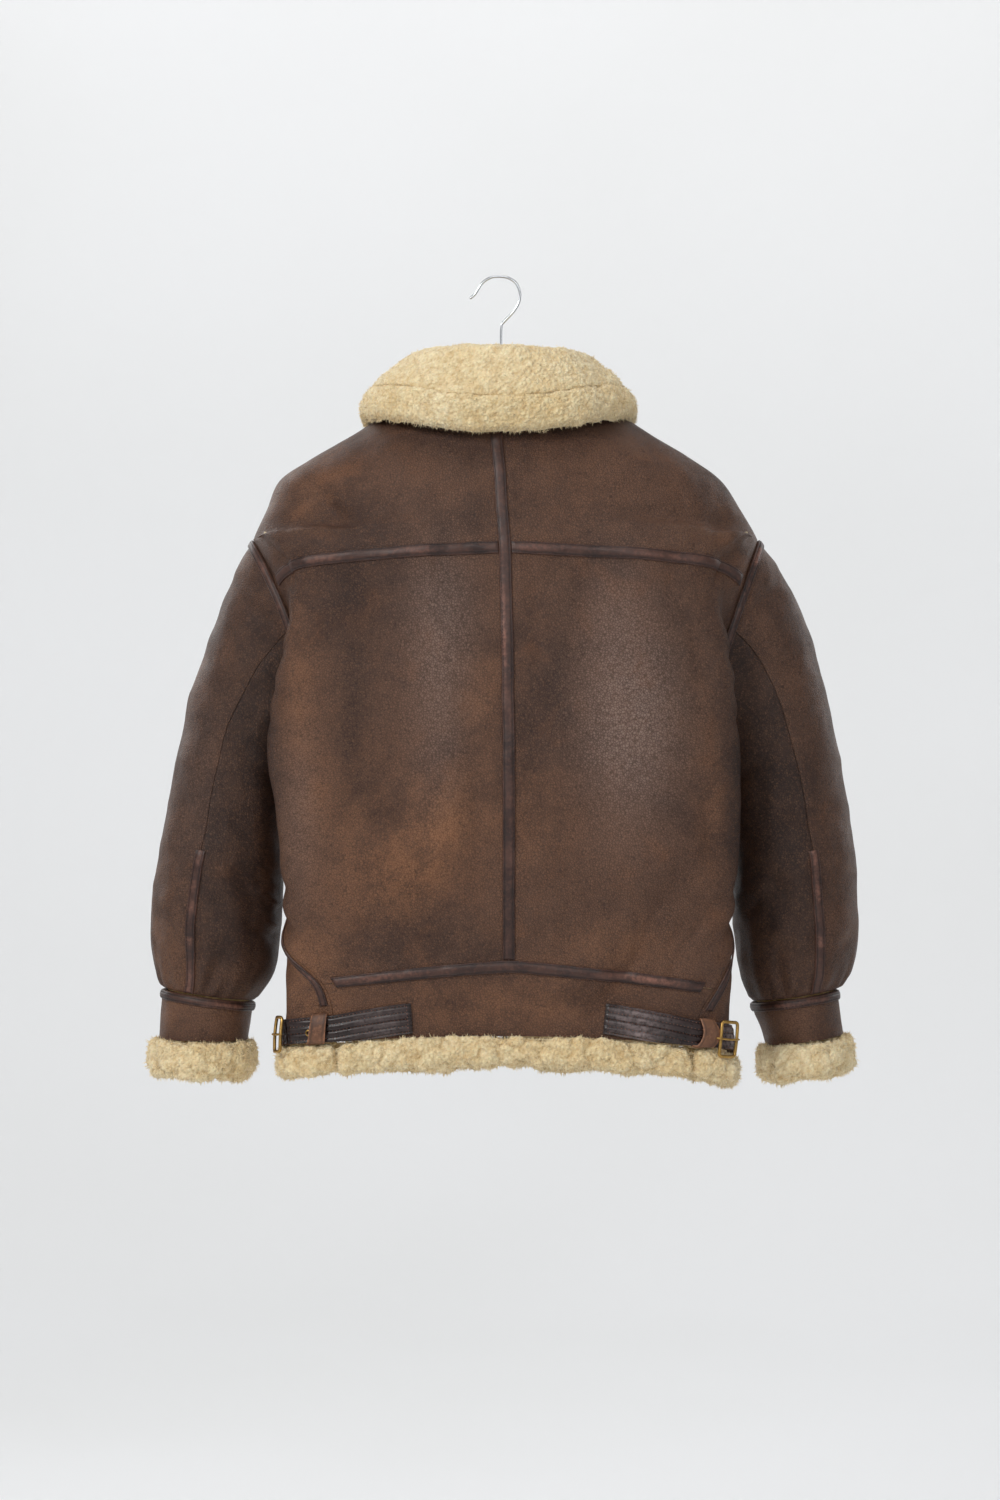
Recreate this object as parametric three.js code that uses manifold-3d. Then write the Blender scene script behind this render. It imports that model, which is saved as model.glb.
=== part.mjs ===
// Hip-length shearling coat on a wire-hook hanger. Units are mm, +Z is up.
// The coat's back faces -Y, its front +Y; +X is the wearer's right.
// The origin is the inner top of the hook, where the hanger is carried.
import * as THREE from 'three';

// ---- driving sizes -------------------------------------------------------
const WALL = 8;              // leather and clipped wool together
const CUFF_WALL = 6;         // cuff band, wool clipped shorter
const SEAM_GAP = 0.4;        // between two panels sewn edge to edge
const ARM_GAP = 0.8;         // between the armhole edge and the sleeve head
const STRIP_RISE = 0.7;      // a taping strip lies this far off its panel
const STRIP_T = 1.8;
const STRIP_W = 12.5;        // main taping strips
const SIDE_STRIP_W = 9;
const CUFF_STRIP_W = 9;
const ARM_STRIP_W = 9;
const STRAP_W = 32;
const STRAP_T = 2.8;
const STRAP_RISE = 0.6;      // at the stitched-down end
const STRAP_LIFT = 1.9;      // at the keeper and the buckle
const ARMHOLE_HALF_DEPTH = 62;
const FRONT_EDGE = 8;        // front panel edge to the centre front
const BELT_V = 0.43;         // strap centre, in rows below "belt"

const SIDE_TUCK = 0.65;      // under 1 tucks the side in sooner behind the corner
const WIRE_R = 1.5;

// ---- small vector helpers ------------------------------------------------
const add = (a, b, k = 1) => [a[0] + b[0] * k, a[1] + b[1] * k, a[2] + b[2] * k];
const sub = (a, b) => [a[0] - b[0], a[1] - b[1], a[2] - b[2]];
const mul = (a, k) => [a[0] * k, a[1] * k, a[2] * k];
const dot = (a, b) => a[0] * b[0] + a[1] * b[1] + a[2] * b[2];
const cross = (a, b) => [a[1] * b[2] - a[2] * b[1], a[2] * b[0] - a[0] * b[2], a[0] * b[1] - a[1] * b[0]];
const len = (a) => Math.hypot(a[0], a[1], a[2]);
const unit = (a) => mul(a, 1 / (len(a) || 1));
const mix = (a, b, t) => [a[0] + (b[0] - a[0]) * t, a[1] + (b[1] - a[1]) * t, a[2] + (b[2] - a[2]) * t];
const range = (n) => Array.from({ length: n }, (_, i) => i);

// ---- armholes ------------------------------------------------------------
// top and low are the shoulder point and the underarm at y = 0; bow draws the
// middle of the ring towards the neck
const ARMHOLE = {
  L: { top: [-258.3, -275.1], low: [-192.2, -479.9], bow: 15 },
  R: { top: [269.9, -275.1], low: [201.6, -479.9], bow: 3 },
};
const SIGN = { L: -1, R: 1 };

// phi 0 is the shoulder point, 180 the underarm; face -1 is the coat's back
function ringPoint(side, phi, face) {
  const a = ARMHOLE[side], c = Math.cos(phi * Math.PI / 180), s = Math.sin(phi * Math.PI / 180);
  const f = (1 - c) / 2;
  const x = a.top[0] + (a.low[0] - a.top[0]) * f - SIGN[side] * a.bow * s * s;
  return [x, face * ARMHOLE_HALF_DEPTH * s, a.top[1] + (a.low[1] - a.top[1]) * f];
}

// ---- body rows -----------------------------------------------------------
// back and front give height and depth at the centre; edge is the shoulder
// ridge or the side; corner is where the back turns into the side. phi ties a
// row to the armhole. seam is where the side seam sits, 1 = at the side edge.
const ROWS = [
  ['name', 'backZ', 'frontZ', 'edgeZL', 'edgeZR', 'edgeXL', 'edgeXR', 'cornXL', 'cornXR', 'cornY', 'backY', 'frontY', 'midX', 'seamL', 'seamR', 'phi'],
  ['neck', -135.9, -194.6, -115.5, -115.5, -77.7, 84.0, 0, 0, 0, -62, 66, -4, 1, 1, -1],
  ['collar', -153.2, -204.7, -140.7, -140.7, -117.1, 122.3, 0, 0, 0, -71, 74, -4, 1, 1, -1],
  ['slope', -172.4, -217.0, -165.9, -165.9, -156.5, 160.7, 0, 0, 0, -79, 82, -4, 1, 1, -1],
  ['blade', -193.6, -232.6, -191.1, -191.1, -199.5, 202.1, 0, 0, 0, -87, 89, -2, 1, 1, -1],
  ['point', -212.5, -248.3, -214.2, -214.2, -232.1, 233.1, 0, 0, 0, -93, 96, 0, 1, 1, -1],
  ['cap', -233.4, -267.3, -243.6, -243.6, -244.7, 252.0, 0, 0, 0, -98, 102, 1, 1, 1, -1],
  ['tip', -250.0, -286.5, 0, 0, 0, 0, 0, 0, 0, -102, 106, 2, 1, 1, 0],
  ['head', -261.4, -303.7, 0, 0, 0, 0, -246, 257, -38, -104, 108, 3, 1, 1, 20],
  ['crown', -273.8, -320.8, 0, 0, 0, 0, -231, 240, -64, -106, 110, 4, 1, 1, 40],
  ['yoke', -287.2, -340.2, 0, 0, 0, 0, -214, 224, -78, -108, 112, 5, 1, 1, 60],
  ['plate', -327.2, -366.0, 0, 0, 0, 0, -216.9, 227.7, -80, -111, 114, 6, 1, 1, 84],
  ['upper', -365.0, -394.0, 0, 0, 0, 0, -222.5, 235.9, -82, -114, 116, 7, 1, 1, 108],
  ['mid', -403.8, -423.2, 0, 0, 0, 0, -230.8, 241.1, -82, -116, 117, 8, 1, 1, 132],
  ['pit', -442.6, -452.4, 0, 0, 0, 0, -237.5, 244.2, -80, -118, 118, 8, 1, 1, 156],
  ['under', -480.3, -479.4, 0, 0, 0, 0, -240.1, 246.2, -77, -119, 118, 9, 1, 1, 180],
  ['chest', -516.0, -517.2, -514.5, -514.5, -195.3, 205.8, -239.0, 248.3, -75, -120, 119, 9, 1, 1, -1],
  ['rib', -551.6, -555.1, -548.1, -548.1, -198.5, 210.0, -232.9, 248.3, -75, -120, 119, 9, 1, 1, -1],
  ['waist', -587.3, -592.9, -585.9, -585.9, -203.7, 215.2, -227.7, 247.3, -75, -119, 119, 9, 1, 1, -1],
  ['low', -623.0, -630.7, -623.7, -623.7, -209.0, 220.5, -225.6, 244.2, -75, -118, 118, 9, 0.97, 0.97, -1],
  ['hip', -658.7, -666.4, -661.5, -661.5, -214.2, 226.8, -224.1, 241.6, -74, -116, 117, 9, 0.87, 0.88, -1],
  ['flank', -689.5, -700.8, -706.0, -708.0, -219.5, 233.1, -222.5, 240.1, -73, -113, 115, 9, 0.74, 0.76, -1],
  ['band', -716.2, -745.3, -752.0, -756.0, -221.6, 239.4, -220.5, 238.0, -72, -110, 113, 9, 0.61, 0.68, -1],
  ['belt', -752.1, -776.2, -779.4, -786.0, -222.6, 239.4, -220.5, 235.9, -70, -107, 111, 9, 0.585, 0.64, -1],
  ['hem', -788.1, -808.4, -806.7, -816.0, -224.7, 241.5, -222.5, 239.0, -70, -105, 109, 9, 0.57, 0.61, -1],
];
const NAMES = ROWS[0];
const BODY = ROWS.slice(1).map((r) => Object.fromEntries(NAMES.map((k, i) => [k, r[i]])));
const R = Object.fromEntries(BODY.map((r, i) => [r.name, i]));
const FRONT_CORNER = { x: 0.93, y: 58 };      // share of the side edge, depth

// how the row drops from the centre to its edge
const dropShape = (row, s, face) => (face < 0 && row.phi > 0 && row.phi < 180
  ? 0.45 * s ** 1.3 + 0.55 * s ** 12
  : row.name === 'band' ? s ** 1.25 : s * s);

// quarter superellipse to the corner, then an easy turn to the edge,
// sampled and read back by share of its length
function halfSection(mid, corner, edge, n) {
  const pts = [];
  for (const i of range(41)) {
    const t = (i / 40) * Math.PI / 2;
    pts.push([mid[0] + (corner[0] - mid[0]) * Math.sin(t) ** (2 / n),
      corner[1] + (mid[1] - corner[1]) * Math.cos(t) ** (2 / n)]);
  }
  if (Math.hypot(corner[0] - edge[0], corner[1] - edge[1]) > 0.01) {
    for (const i of range(16)) {
      const t = (i + 1) / 16;
      pts.push([corner[0] + (edge[0] - corner[0]) * (1 - Math.cos(Math.PI * t ** SIDE_TUCK)) / 2,
        corner[1] + (edge[1] - corner[1]) * t]);
    }
  }
  const acc = [0];
  for (let i = 1; i < pts.length; i += 1) acc.push(acc[i - 1] + Math.hypot(pts[i][0] - pts[i - 1][0], pts[i][1] - pts[i - 1][1]));
  const total = acc[acc.length - 1];
  return {
    total,
    at(s) {
      const d = Math.min(Math.max(s, 0), 1) * total;
      let i = 1;
      while (i < acc.length - 1 && acc[i] < d) i += 1;
      const t = (d - acc[i - 1]) / (acc[i] - acc[i - 1] || 1);
      return [pts[i - 1][0] + (pts[i][0] - pts[i - 1][0]) * t, pts[i - 1][1] + (pts[i][1] - pts[i - 1][1]) * t];
    },
  };
}

function rowHalf(row, side, face) {
  const sg = SIGN[side];
  let edge, edgeZ;
  if (row.phi >= 0) {
    const p = ringPoint(side, row.phi, face);
    edge = [p[0], p[1]]; edgeZ = p[2];
  } else {
    edge = [row[`edgeX${side}`], 0]; edgeZ = row[`edgeZ${side}`];
  }
  const centre = [face < 0 ? row.midX : 0, face < 0 ? row.backY : row.frontY];
  let corner = edge;
  if (row.cornY !== 0) {
    corner = face < 0 ? [row[`cornX${side}`], row.cornY]
      : [sg * Math.min(Math.abs(edge[0]) * FRONT_CORNER.x, 205), Math.max(FRONT_CORNER.y, edge[1] + 6)];
    if (face > 0 && row.phi > 0 && row.phi < 60) corner = [edge[0] - sg * 8, edge[1] + 14];
  }
  const n = row.cornY === 0 ? 2.05 : face < 0 ? 2.35 : 2.2;
  const sec = halfSection(centre, corner, edge, n);
  const midZ = face < 0 ? row.backZ : row.frontZ;
  return {
    total: sec.total,
    at(s) {
      const p = sec.at(s);
      return [p[0], p[1], midZ + (edgeZ - midZ) * dropShape(row, Math.abs(s), face)];
    },
  };
}
const HALVES = BODY.map((row) => ({
  L: { back: rowHalf(row, 'L', -1), front: rowHalf(row, 'L', 1) },
  R: { back: rowHalf(row, 'R', -1), front: rowHalf(row, 'R', 1) },
}));

// S runs 0 at the centre back, 1 at the edge, 2 at the centre front
function bodyPoint(j, side, S, useFront) {
  const h = HALVES[j][side];
  if (S > 1 || (S === 1 && useFront)) return h.front.at(2 - S);
  return h.back.at(S);
}

// ---- folds: soft ridges (+) and troughs (-) by where they are seen ---------
const FOLDS = [
  ['on', 'x0', 'z0', 'x1', 'z1', 'wide', 'high'],
  ['back', -72, -300, -66, -600, 30, 5],
  ['back', 147, -300, 140, -610, 30, 5],
  ['back', 94, -320, 92, -560, 24, -4],
  ['back', -168, -330, -150, -560, 24, -4],
  ['back', 60, -740, 190, -600, 18, 4],
  ['back', 100, -760, 215, -660, 14, -3],
  ['back', -90, -560, -140, -700, 26, 3],
  ['back', -199, -222, -136, -280, 14, -4],
  ['back', 225, -235, 232, -290, 12, -4],
  ['front', -95, -330, -80, -640, 34, 5],
  ['front', 110, -340, 100, -640, 34, 5],
  ['front', -165, -480, -90, -730, 26, -4],
  ['front', 172, -480, 110, -720, 26, -4],
  ['sleeveBack', -268, -640, -235, -690, 16, -5],
  ['sleeveBack', -330, -560, -262, -600, 18, -4],
  ['sleeveBack', -350, -660, -285, -700, 16, 4],
  ['sleeveBack', -262, -330, -226, -420, 16, -4],
  ['sleeveBack', 288, -640, 250, -700, 16, -5],
  ['sleeveBack', 340, -560, 270, -590, 18, -4],
  ['sleeveBack', 368, -680, 300, -690, 16, 4],
  ['sleeveBack', 285, -340, 252, -430, 16, -4],
  ['sleeveFront', -340, -520, -250, -560, 18, -5],
  ['sleeveFront', -350, -650, -260, -690, 16, -5],
  ['sleeveFront', 350, -520, 260, -560, 18, -5],
  ['sleeveFront', 362, -650, 270, -690, 16, -5],
];
const FOLD_LIST = FOLDS.slice(1).map((r) => Object.fromEntries(FOLDS[0].map((k, i) => [k, r[i]])));
function foldHeight(on, p) {
  let h = 0;
  for (const f of FOLD_LIST) {
    if (f.on !== on) continue;
    const dx = f.x1 - f.x0, dz = f.z1 - f.z0;
    const t = ((p[0] - f.x0) * dx + (p[2] - f.z0) * dz) / (dx * dx + dz * dz);
    const tc = Math.min(Math.max(t, 0), 1);
    const d = Math.hypot(p[0] - f.x0 - dx * tc, p[2] - f.z0 - dz * tc);
    h += f.high * Math.exp(-((d / f.wide) ** 2));
  }
  return h;
}

// ---- lattices: the grid of points every panel and strip is cut from --------
class Lattice {
  constructor(nu, nw, fn, closed, outward, fold) {
    this.nu = nu; this.nw = nw; this.closed = closed;
    this.P = range(nu + 1).map((i) => range(nw + 1).map((j) => fn(i, j)));
    this.findNormals(outward);
    if (fold) {
      const moved = this.P.map((col, i) => col.map((p, j) => add(p, this.N[i][j], fold(p, i, j))));
      this.P = moved;
      if (closed) this.P[nu] = this.P[0];
      this.findNormals(outward);
    }
  }

  findNormals(outward) {
    const { nu, nw, P, closed } = this;
    this.N = range(nu + 1).map((i) => range(nw + 1).map((j) => {
      const ia = closed ? (i - 1 + nu) % nu : Math.max(i - 1, 0);
      const ib = closed ? (i + 1) % nu : Math.min(i + 1, nu);
      const du = sub(P[ib][j], P[ia][j]);
      const dw = sub(P[i][Math.min(j + 1, nw)], P[i][Math.max(j - 1, 0)]);
      let n = unit(cross(du, dw));
      if (dot(n, outward(P[i][j], i, j)) < 0) n = mul(n, -1);
      return n;
    }));
  }

  read(G, u, w) {
    let uu = u;
    if (this.closed) uu = ((u % this.nu) + this.nu) % this.nu;
    const i = Math.min(Math.max(Math.floor(uu + 1e-9), 0), this.nu - 1);
    const j = Math.min(Math.max(Math.floor(w + 1e-9), 0), this.nw - 1);
    const a = G[i][j], b = G[i + 1][j], c = G[i + 1][j + 1], d = G[i][j + 1], x = uu - i, y = w - j;
    if (this.slant(i, j)) {
      return x >= y ? add(add(a, sub(b, a), x), sub(c, b), y) : add(add(a, sub(c, d), x), sub(d, a), y);
    }
    return x + y <= 1 ? add(add(a, sub(b, a), x), sub(d, a), y) : add(add(c, sub(d, c), 1 - x), sub(b, c), 1 - y);
  }

  // which way a cell is split: true joins its first and third corners
  slant(i, j) {
    const { P } = this, k = (i + this.nu) % this.nu;
    return len(sub(P[k][j], P[k + 1][j + 1])) <= len(sub(P[k + 1][j], P[k][j + 1]));
  }

  at(u, w) { return this.read(this.P, u, w); }
  normal(u, w) { return unit(this.read(this.N, u, w)); }

  // walk mm along rows (along = 'w') or columns (along = 'u')
  shift(u, w, mm, along) {
    let t = along === 'w' ? w : u, rest = Math.abs(mm);
    const s = Math.sign(mm), top = along === 'w' ? this.nw : this.nu;
    for (let k = 0; k < 40 && rest > 1e-7; k += 1) {
      let c = s > 0 ? Math.floor(t + 1e-9) : Math.ceil(t - 1e-9) - 1;
      if (!this.closed || along === 'w') c = Math.min(Math.max(c, 0), top - 1);
      const p = along === 'w' ? this.at(u, c) : this.at(c, w);
      const q = along === 'w' ? this.at(u, c + 1) : this.at(c + 1, w);
      const size = len(sub(q, p));
      const room = s > 0 ? (c + 1 - t) * size : (t - c) * size;
      const d = Math.min(rest, Math.max(room, 0));
      t += (s * d) / size; rest -= d;
      if (d === 0) break;
    }
    return t;
  }
}

// columns of the back, as shares of the way to the side seam
const BACK_COLS = [0, 0.14, 0.28, 0.41, 0.54, 0.66, 0.76, 0.85, 0.93, 1];
const NB = BACK_COLS.length - 1;
const NF = 11;
const frontShare = (k) => (k / NF) ** 1.35;
const NROW = BODY.length - 1;
const awayFromAxis = (p) => [p[0], p[1] * 1.5, 0.001];

const backLattice = new Lattice(2 * NB, NROW, (i, j) => {
  const side = i < NB ? 'L' : 'R', c = BACK_COLS[Math.abs(i - NB)];
  return bodyPoint(j, side, c * BODY[j][`seam${side}`], false);
}, false, awayFromAxis, (p, i) => foldHeight('back', p) * [1, 1, 1, 1, 1, 1, 0.8, 0.4, 0.1, 0][Math.abs(i - NB)]);

const frontLattice = {};
for (const side of ['L', 'R']) {
  frontLattice[side] = new Lattice(NF, NROW, (k, j) => {
    const s0 = BODY[j][`seam${side}`], s1 = 2 - FRONT_EDGE / HALVES[j][side].front.total;
    return bodyPoint(j, side, s0 + (s1 - s0) * frontShare(k), true);
  }, false, awayFromAxis, (p, k) => (p[1] > 20 ? foldHeight('front', p) : 0) * Math.sin(Math.min(k / 2, 1) * Math.PI / 2) * Math.min((NF - k) / 2, 1));
}
// the back and the front share one edge above and below the armhole
for (const [side, i] of [['L', 0], ['R', 2 * NB]]) {
  for (const j of range(NROW + 1)) {
    const row = BODY[j];
    if (row.phi > 0 && row.phi < 180) continue;
    const n = unit(add(backLattice.N[i][j], frontLattice[side].N[0][j]));
    backLattice.N[i][j] = n; frontLattice[side].N[0][j] = n;
  }
}

// ---- sleeves -------------------------------------------------------------
// outer and inner edge of each ring as seen, its depth centre and half depth
const SLEEVE = {
  L: [
    ['outX', 'outZ', 'inX', 'inZ', 'midY', 'half'],
    [-273.1, -302.3, -204.0, -488.2, 7, 63],
    [-289.1, -337.9, -212.0, -497.6, 13, 64],
    [-309.5, -388.2, -219.0, -513.4, 19, 65],
    [-326.8, -439.7, -224.0, -534.5, 25, 66],
    [-338.9, -488.2, -227.0, -558.8, 29, 67],
    [-348.9, -535.8, -229.0, -584.3, 33, 68],
    [-357.8, -582.4, -229.5, -609.8, 34, 68],
    [-365.6, -628.1, -230.0, -639.6, 38, 67],
    [-370.1, -670.6, -231.0, -672.6, 41, 65],
    [-369.2, -702.5, -234.0, -704.5, 43, 62],
    [-364.0, -727.0, -241.9, -733.2, 44, 57],
    [-356.9, -747.3, -260.6, -761.2, 45, 50],
  ],
  R: [
    ['outX', 'outZ', 'inX', 'inZ', 'midY', 'half'],
    [292.0, -304.4, 215.0, -488.2, 7, 63],
    [311.2, -337.9, 223.0, -497.6, 13, 64],
    [330.5, -388.2, 230.0, -513.4, 19, 65],
    [344.7, -439.7, 235.0, -534.5, 25, 66],
    [356.9, -488.2, 239.0, -558.8, 29, 67],
    [365.8, -535.8, 242.0, -584.3, 33, 68],
    [372.6, -582.4, 244.0, -609.8, 34, 68],
    [377.3, -628.1, 245.5, -639.6, 38, 67],
    [378.6, -670.6, 246.5, -672.6, 41, 65],
    [377.7, -702.5, 249.5, -704.5, 43, 62],
    [371.5, -727.0, 256.8, -734.3, 44, 57],
    [359.2, -748.2, 267.5, -761.8, 45, 50],
  ],
};
const CUFF = {
  L: [
    ['outX', 'outZ', 'inX', 'inZ', 'midY', 'half'],
    [-356.8, -748.4, -261.2, -762.2, 45, 49.5],
    [-358.6, -762.9, -262.8, -773.0, 45, 49],
    [-360.3, -777.6, -264.4, -784.6, 45, 48.5],
    [-362.1, -800.5, -267.6, -802.6, 45, 48],
  ],
  R: [
    ['outX', 'outZ', 'inX', 'inZ', 'midY', 'half'],
    [358.9, -749.4, 267.6, -762.8, 45, 49.5],
    [360.4, -763.6, 270.4, -775.2, 45, 49],
    [362.1, -777.4, 276.1, -787.7, 45, 48.5],
    [364.2, -796.2, 282.4, -807.9, 45, 48],
  ],
};
const SLEEVE_PHI = [0, 20, 40, 60, 84, 108, 132, 156, 180, 204, 228, 252, 276, 300, 320, 340];
const NS = SLEEVE_PHI.length;
const SEAM_BACK = 4;         // sleeve columns that carry the two seams
const SEAM_FRONT = 10;
const SEAM_TURN = 16;        // degrees the seams creep outward by the wrist
const rows = (t) => t.slice(1).map((r) => Object.fromEntries(t[0].map((k, i) => [k, r[i]])));

function sleeveRing(r, phi, bow, side) {
  const c = Math.cos(phi * Math.PI / 180), s = Math.sin(phi * Math.PI / 180);
  const f = (1 - c) / 2;
  return [r.outX + (r.inX - r.outX) * f - SIGN[side] * bow * s * s,
    r.midY - r.half * s, r.outZ + (r.inZ - r.outZ) * f];
}
const turned = (phi, share) => phi - SEAM_TURN * share * Math.sin(phi * Math.PI / 180);

function sleeveLattice(side) {
  const T = rows(SLEEVE[side]);
  return new Lattice(NS, T.length, (i, j) => {
    const phi = SLEEVE_PHI[i % NS];
    if (j === 0) return phi <= 180 ? ringPoint(side, phi, -1) : ringPoint(side, 360 - phi, 1);
    const bow = ARMHOLE[side].bow * Math.max(0, 1 - j / 4);
    return sleeveRing(T[j - 1], turned(phi, j / T.length), bow, side);
  }, true, (p, i, j) => {
    const t = j === 0 ? T[0] : T[j - 1];
    return sub(p, [(t.outX + t.inX) / 2, t.midY, (t.outZ + t.inZ) / 2]);
  }, (p, i, j) => (j === 0 || j === T.length ? 0
    : foldHeight(p[1] < T[j - 1].midY ? 'sleeveBack' : 'sleeveFront', p)));
}
const sleeves = { L: sleeveLattice('L'), R: sleeveLattice('R') };

function cuffLattice(side) {
  const T = rows(CUFF[side]);
  return new Lattice(NS, T.length - 1, (i, j) => sleeveRing(T[j], turned(SLEEVE_PHI[i % NS], 1), 0, side), true,
    (p, i, j) => sub(p, [(T[j].outX + T[j].inX) / 2, T[j].midY, (T[j].outZ + T[j].inZ) / 2]));
}
const cuffs = { L: cuffLattice('L'), R: cuffLattice('R') };

// ---- solids --------------------------------------------------------------
function meshFrom(tris) {
  let vol = 0;
  for (const [a, b, c] of tris) vol += dot(a, cross(b, c));
  const out = new Float32Array(tris.length * 9);
  tris.forEach(([a, b, c], t) => {
    const [p, q, r] = vol < 0 ? [a, c, b] : [a, b, c];
    out.set([...p, ...q, ...r], t * 9);
  });
  const g = new THREE.BufferGeometry();
  g.setAttribute('position', new THREE.BufferAttribute(out, 3));
  g.computeVertexNormals();
  return g;
}
function quad(tris, a, b, c, d, slant = len(sub(a, c)) <= len(sub(b, d))) {
  if (slant) tris.push([a, b, c], [a, c, d]);
  else tris.push([a, b, d], [b, c, d]);
}
// two matching grids, walls along every open side
function slab(outer, inner, closedU = false, slant = null) {
  const tris = [], nu = outer.length - 1, nw = outer[0].length - 1;
  for (const i of range(nu)) {
    for (const j of range(nw)) {
      const s = slant ? slant(i, j) : undefined;
      quad(tris, outer[i][j], outer[i + 1][j], outer[i + 1][j + 1], outer[i][j + 1], s);
      quad(tris, inner[i][j + 1], inner[i + 1][j + 1], inner[i + 1][j], inner[i][j], s === undefined ? s : !s);
    }
    quad(tris, outer[i + 1][0], outer[i][0], inner[i][0], inner[i + 1][0]);
    quad(tris, outer[i][nw], outer[i + 1][nw], inner[i + 1][nw], inner[i][nw]);
  }
  if (!closedU) {
    for (const j of range(nw)) {
      quad(tris, outer[0][j], outer[0][j + 1], inner[0][j + 1], inner[0][j]);
      quad(tris, outer[nu][j + 1], outer[nu][j], inner[nu][j], inner[nu][j + 1]);
    }
  }
  return meshFrom(tris);
}
// loops of points joined in order, ends capped unless the run closes
function loft(loops, closed = false) {
  const tris = [], n = loops[0].length, m = loops.length;
  for (const k of range(closed ? m : m - 1)) {
    const A = loops[k], B = loops[(k + 1) % m];
    for (const i of range(n)) quad(tris, A[i], A[(i + 1) % n], B[(i + 1) % n], B[i]);
  }
  if (!closed) {
    for (const [L, s] of [[loops[0], 1], [loops[m - 1], -1]]) {
      const c = mul(L.reduce((a, b) => add(a, b), [0, 0, 0]), 1 / n);
      for (const i of range(n)) tris.push(s > 0 ? [L[(i + 1) % n], L[i], c] : [L[i], L[(i + 1) % n], c]);
    }
  }
  return meshFrom(tris);
}

// a panel is a block of lattice cells, drawn in a little at each side
function panel(lat, i0, i1, j0, j1, wall, gap = {}) {
  const g = { u0: SEAM_GAP / 2, u1: SEAM_GAP / 2, w0: SEAM_GAP / 2, w1: SEAM_GAP / 2, ...gap };
  const closed = lat.closed && i1 - i0 === lat.nu;
  const outer = [], inner = [];
  for (let i = i0; i <= i1; i += 1) {
    const co = [], ci = [];
    for (let j = j0; j <= j1; j += 1) {
      let u = i, w = j;
      if (!closed && i === i0) u = lat.shift(i, j, g.u0, 'u');
      if (!closed && i === i1) u = lat.shift(i, j, -g.u1, 'u');
      if (j === j0) w = lat.shift(u, j, g.w0, 'w');
      if (j === j1) w = lat.shift(u, j, -g.w1, 'w');
      const p = lat.at(u, w), n = lat.normal(u, w);
      co.push(p); ci.push(add(p, n, -wall));
    }
    outer.push(co); inner.push(ci);
  }
  return slab(outer, inner, closed, (i, j) => lat.slant(i + i0, j + j0));
}
// spots: rows of lists of {lat, u, w}; the cover lies `rise` off them
function cover(spots, rise, thick, closed = false) {
  const lift = typeof rise === 'function' ? rise : () => rise;
  const grid = (extra) => spots.map((line, a) => line.map(({ lat, u, w }) => add(lat.at(u, w), lat.normal(u, w), lift(a / (spots.length - 1)) + extra)));
  return slab(grid(thick), grid(0), closed);
}
const spot = (lat, u, w) => ({ lat, u, w });
// a strip running along the columns, centred on a row
function rowStrip(lat, us, w, half) {
  return us.map((u) => [lat.shift(u, w, -half, 'w'), w, lat.shift(u, w, half, 'w')].map((x) => spot(lat, u, x)));
}
// every lattice line between two places, with `per` spots in each cell
const steps = (a, b, per = 1) => {
  const lo = Math.min(a, b), hi = Math.max(a, b), out = [lo];
  for (let k = Math.floor(lo * per) + 1; k / per < hi - 0.04; k += 1) if (k / per > lo + 0.04) out.push(k / per);
  out.push(hi);
  return a > b ? out.reverse() : out;
};

// ---- materials and the group ---------------------------------------------
const COLOURS = {
  leather: [0x5f4434, 0.55, 0],
  trim: [0x452d22, 0.35, 0],
  strap: [0x33221b, 0.35, 0],
  tan: [0x8a6238, 0.5, 0],
  wool: [0xe6d2aa, 0.95, 0],
  brass: [0x8f7440, 0.4, 0.9],
  steel: [0xc9cbd0, 0.2, 1],
  wood: [0x9c7448, 0.6, 0],
  tape: [0x2e241f, 0.85, 0],
};
const group = new THREE.Group();
group.name = 'shearling_coat';
function put(name, geometry, slot) {
  const [colour, roughness, metalness] = COLOURS[slot];
  const mesh = new THREE.Mesh(geometry, new THREE.MeshStandardMaterial({ color: colour, roughness, metalness, name: slot }));
  mesh.name = name;
  group.add(mesh);
}
const word = { L: 'left', R: 'right' };

// ---- body panels ---------------------------------------------------------
put('back_yoke_left', bodyPanel(backLattice, 0, NB, R.neck, R.yoke, 'u0'), 'leather');
put('back_yoke_right', bodyPanel(backLattice, NB, 2 * NB, R.neck, R.yoke, 'u1'), 'leather');
put('back_left', bodyPanel(backLattice, 0, NB, R.yoke, R.band, 'u0'), 'leather');
put('back_right', bodyPanel(backLattice, NB, 2 * NB, R.yoke, R.band, 'u1'), 'leather');
put('back_hem_band', panel(backLattice, 0, 2 * NB, R.band, R.hem, WALL, { w1: 0 }), 'leather');
for (const side of ['L', 'R']) {
  put(`front_${word[side]}`, bodyPanel(frontLattice[side], 0, NF, R.neck, R.hem, 'u0', { u1: 0, w1: 0 }), 'leather');
}
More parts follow.
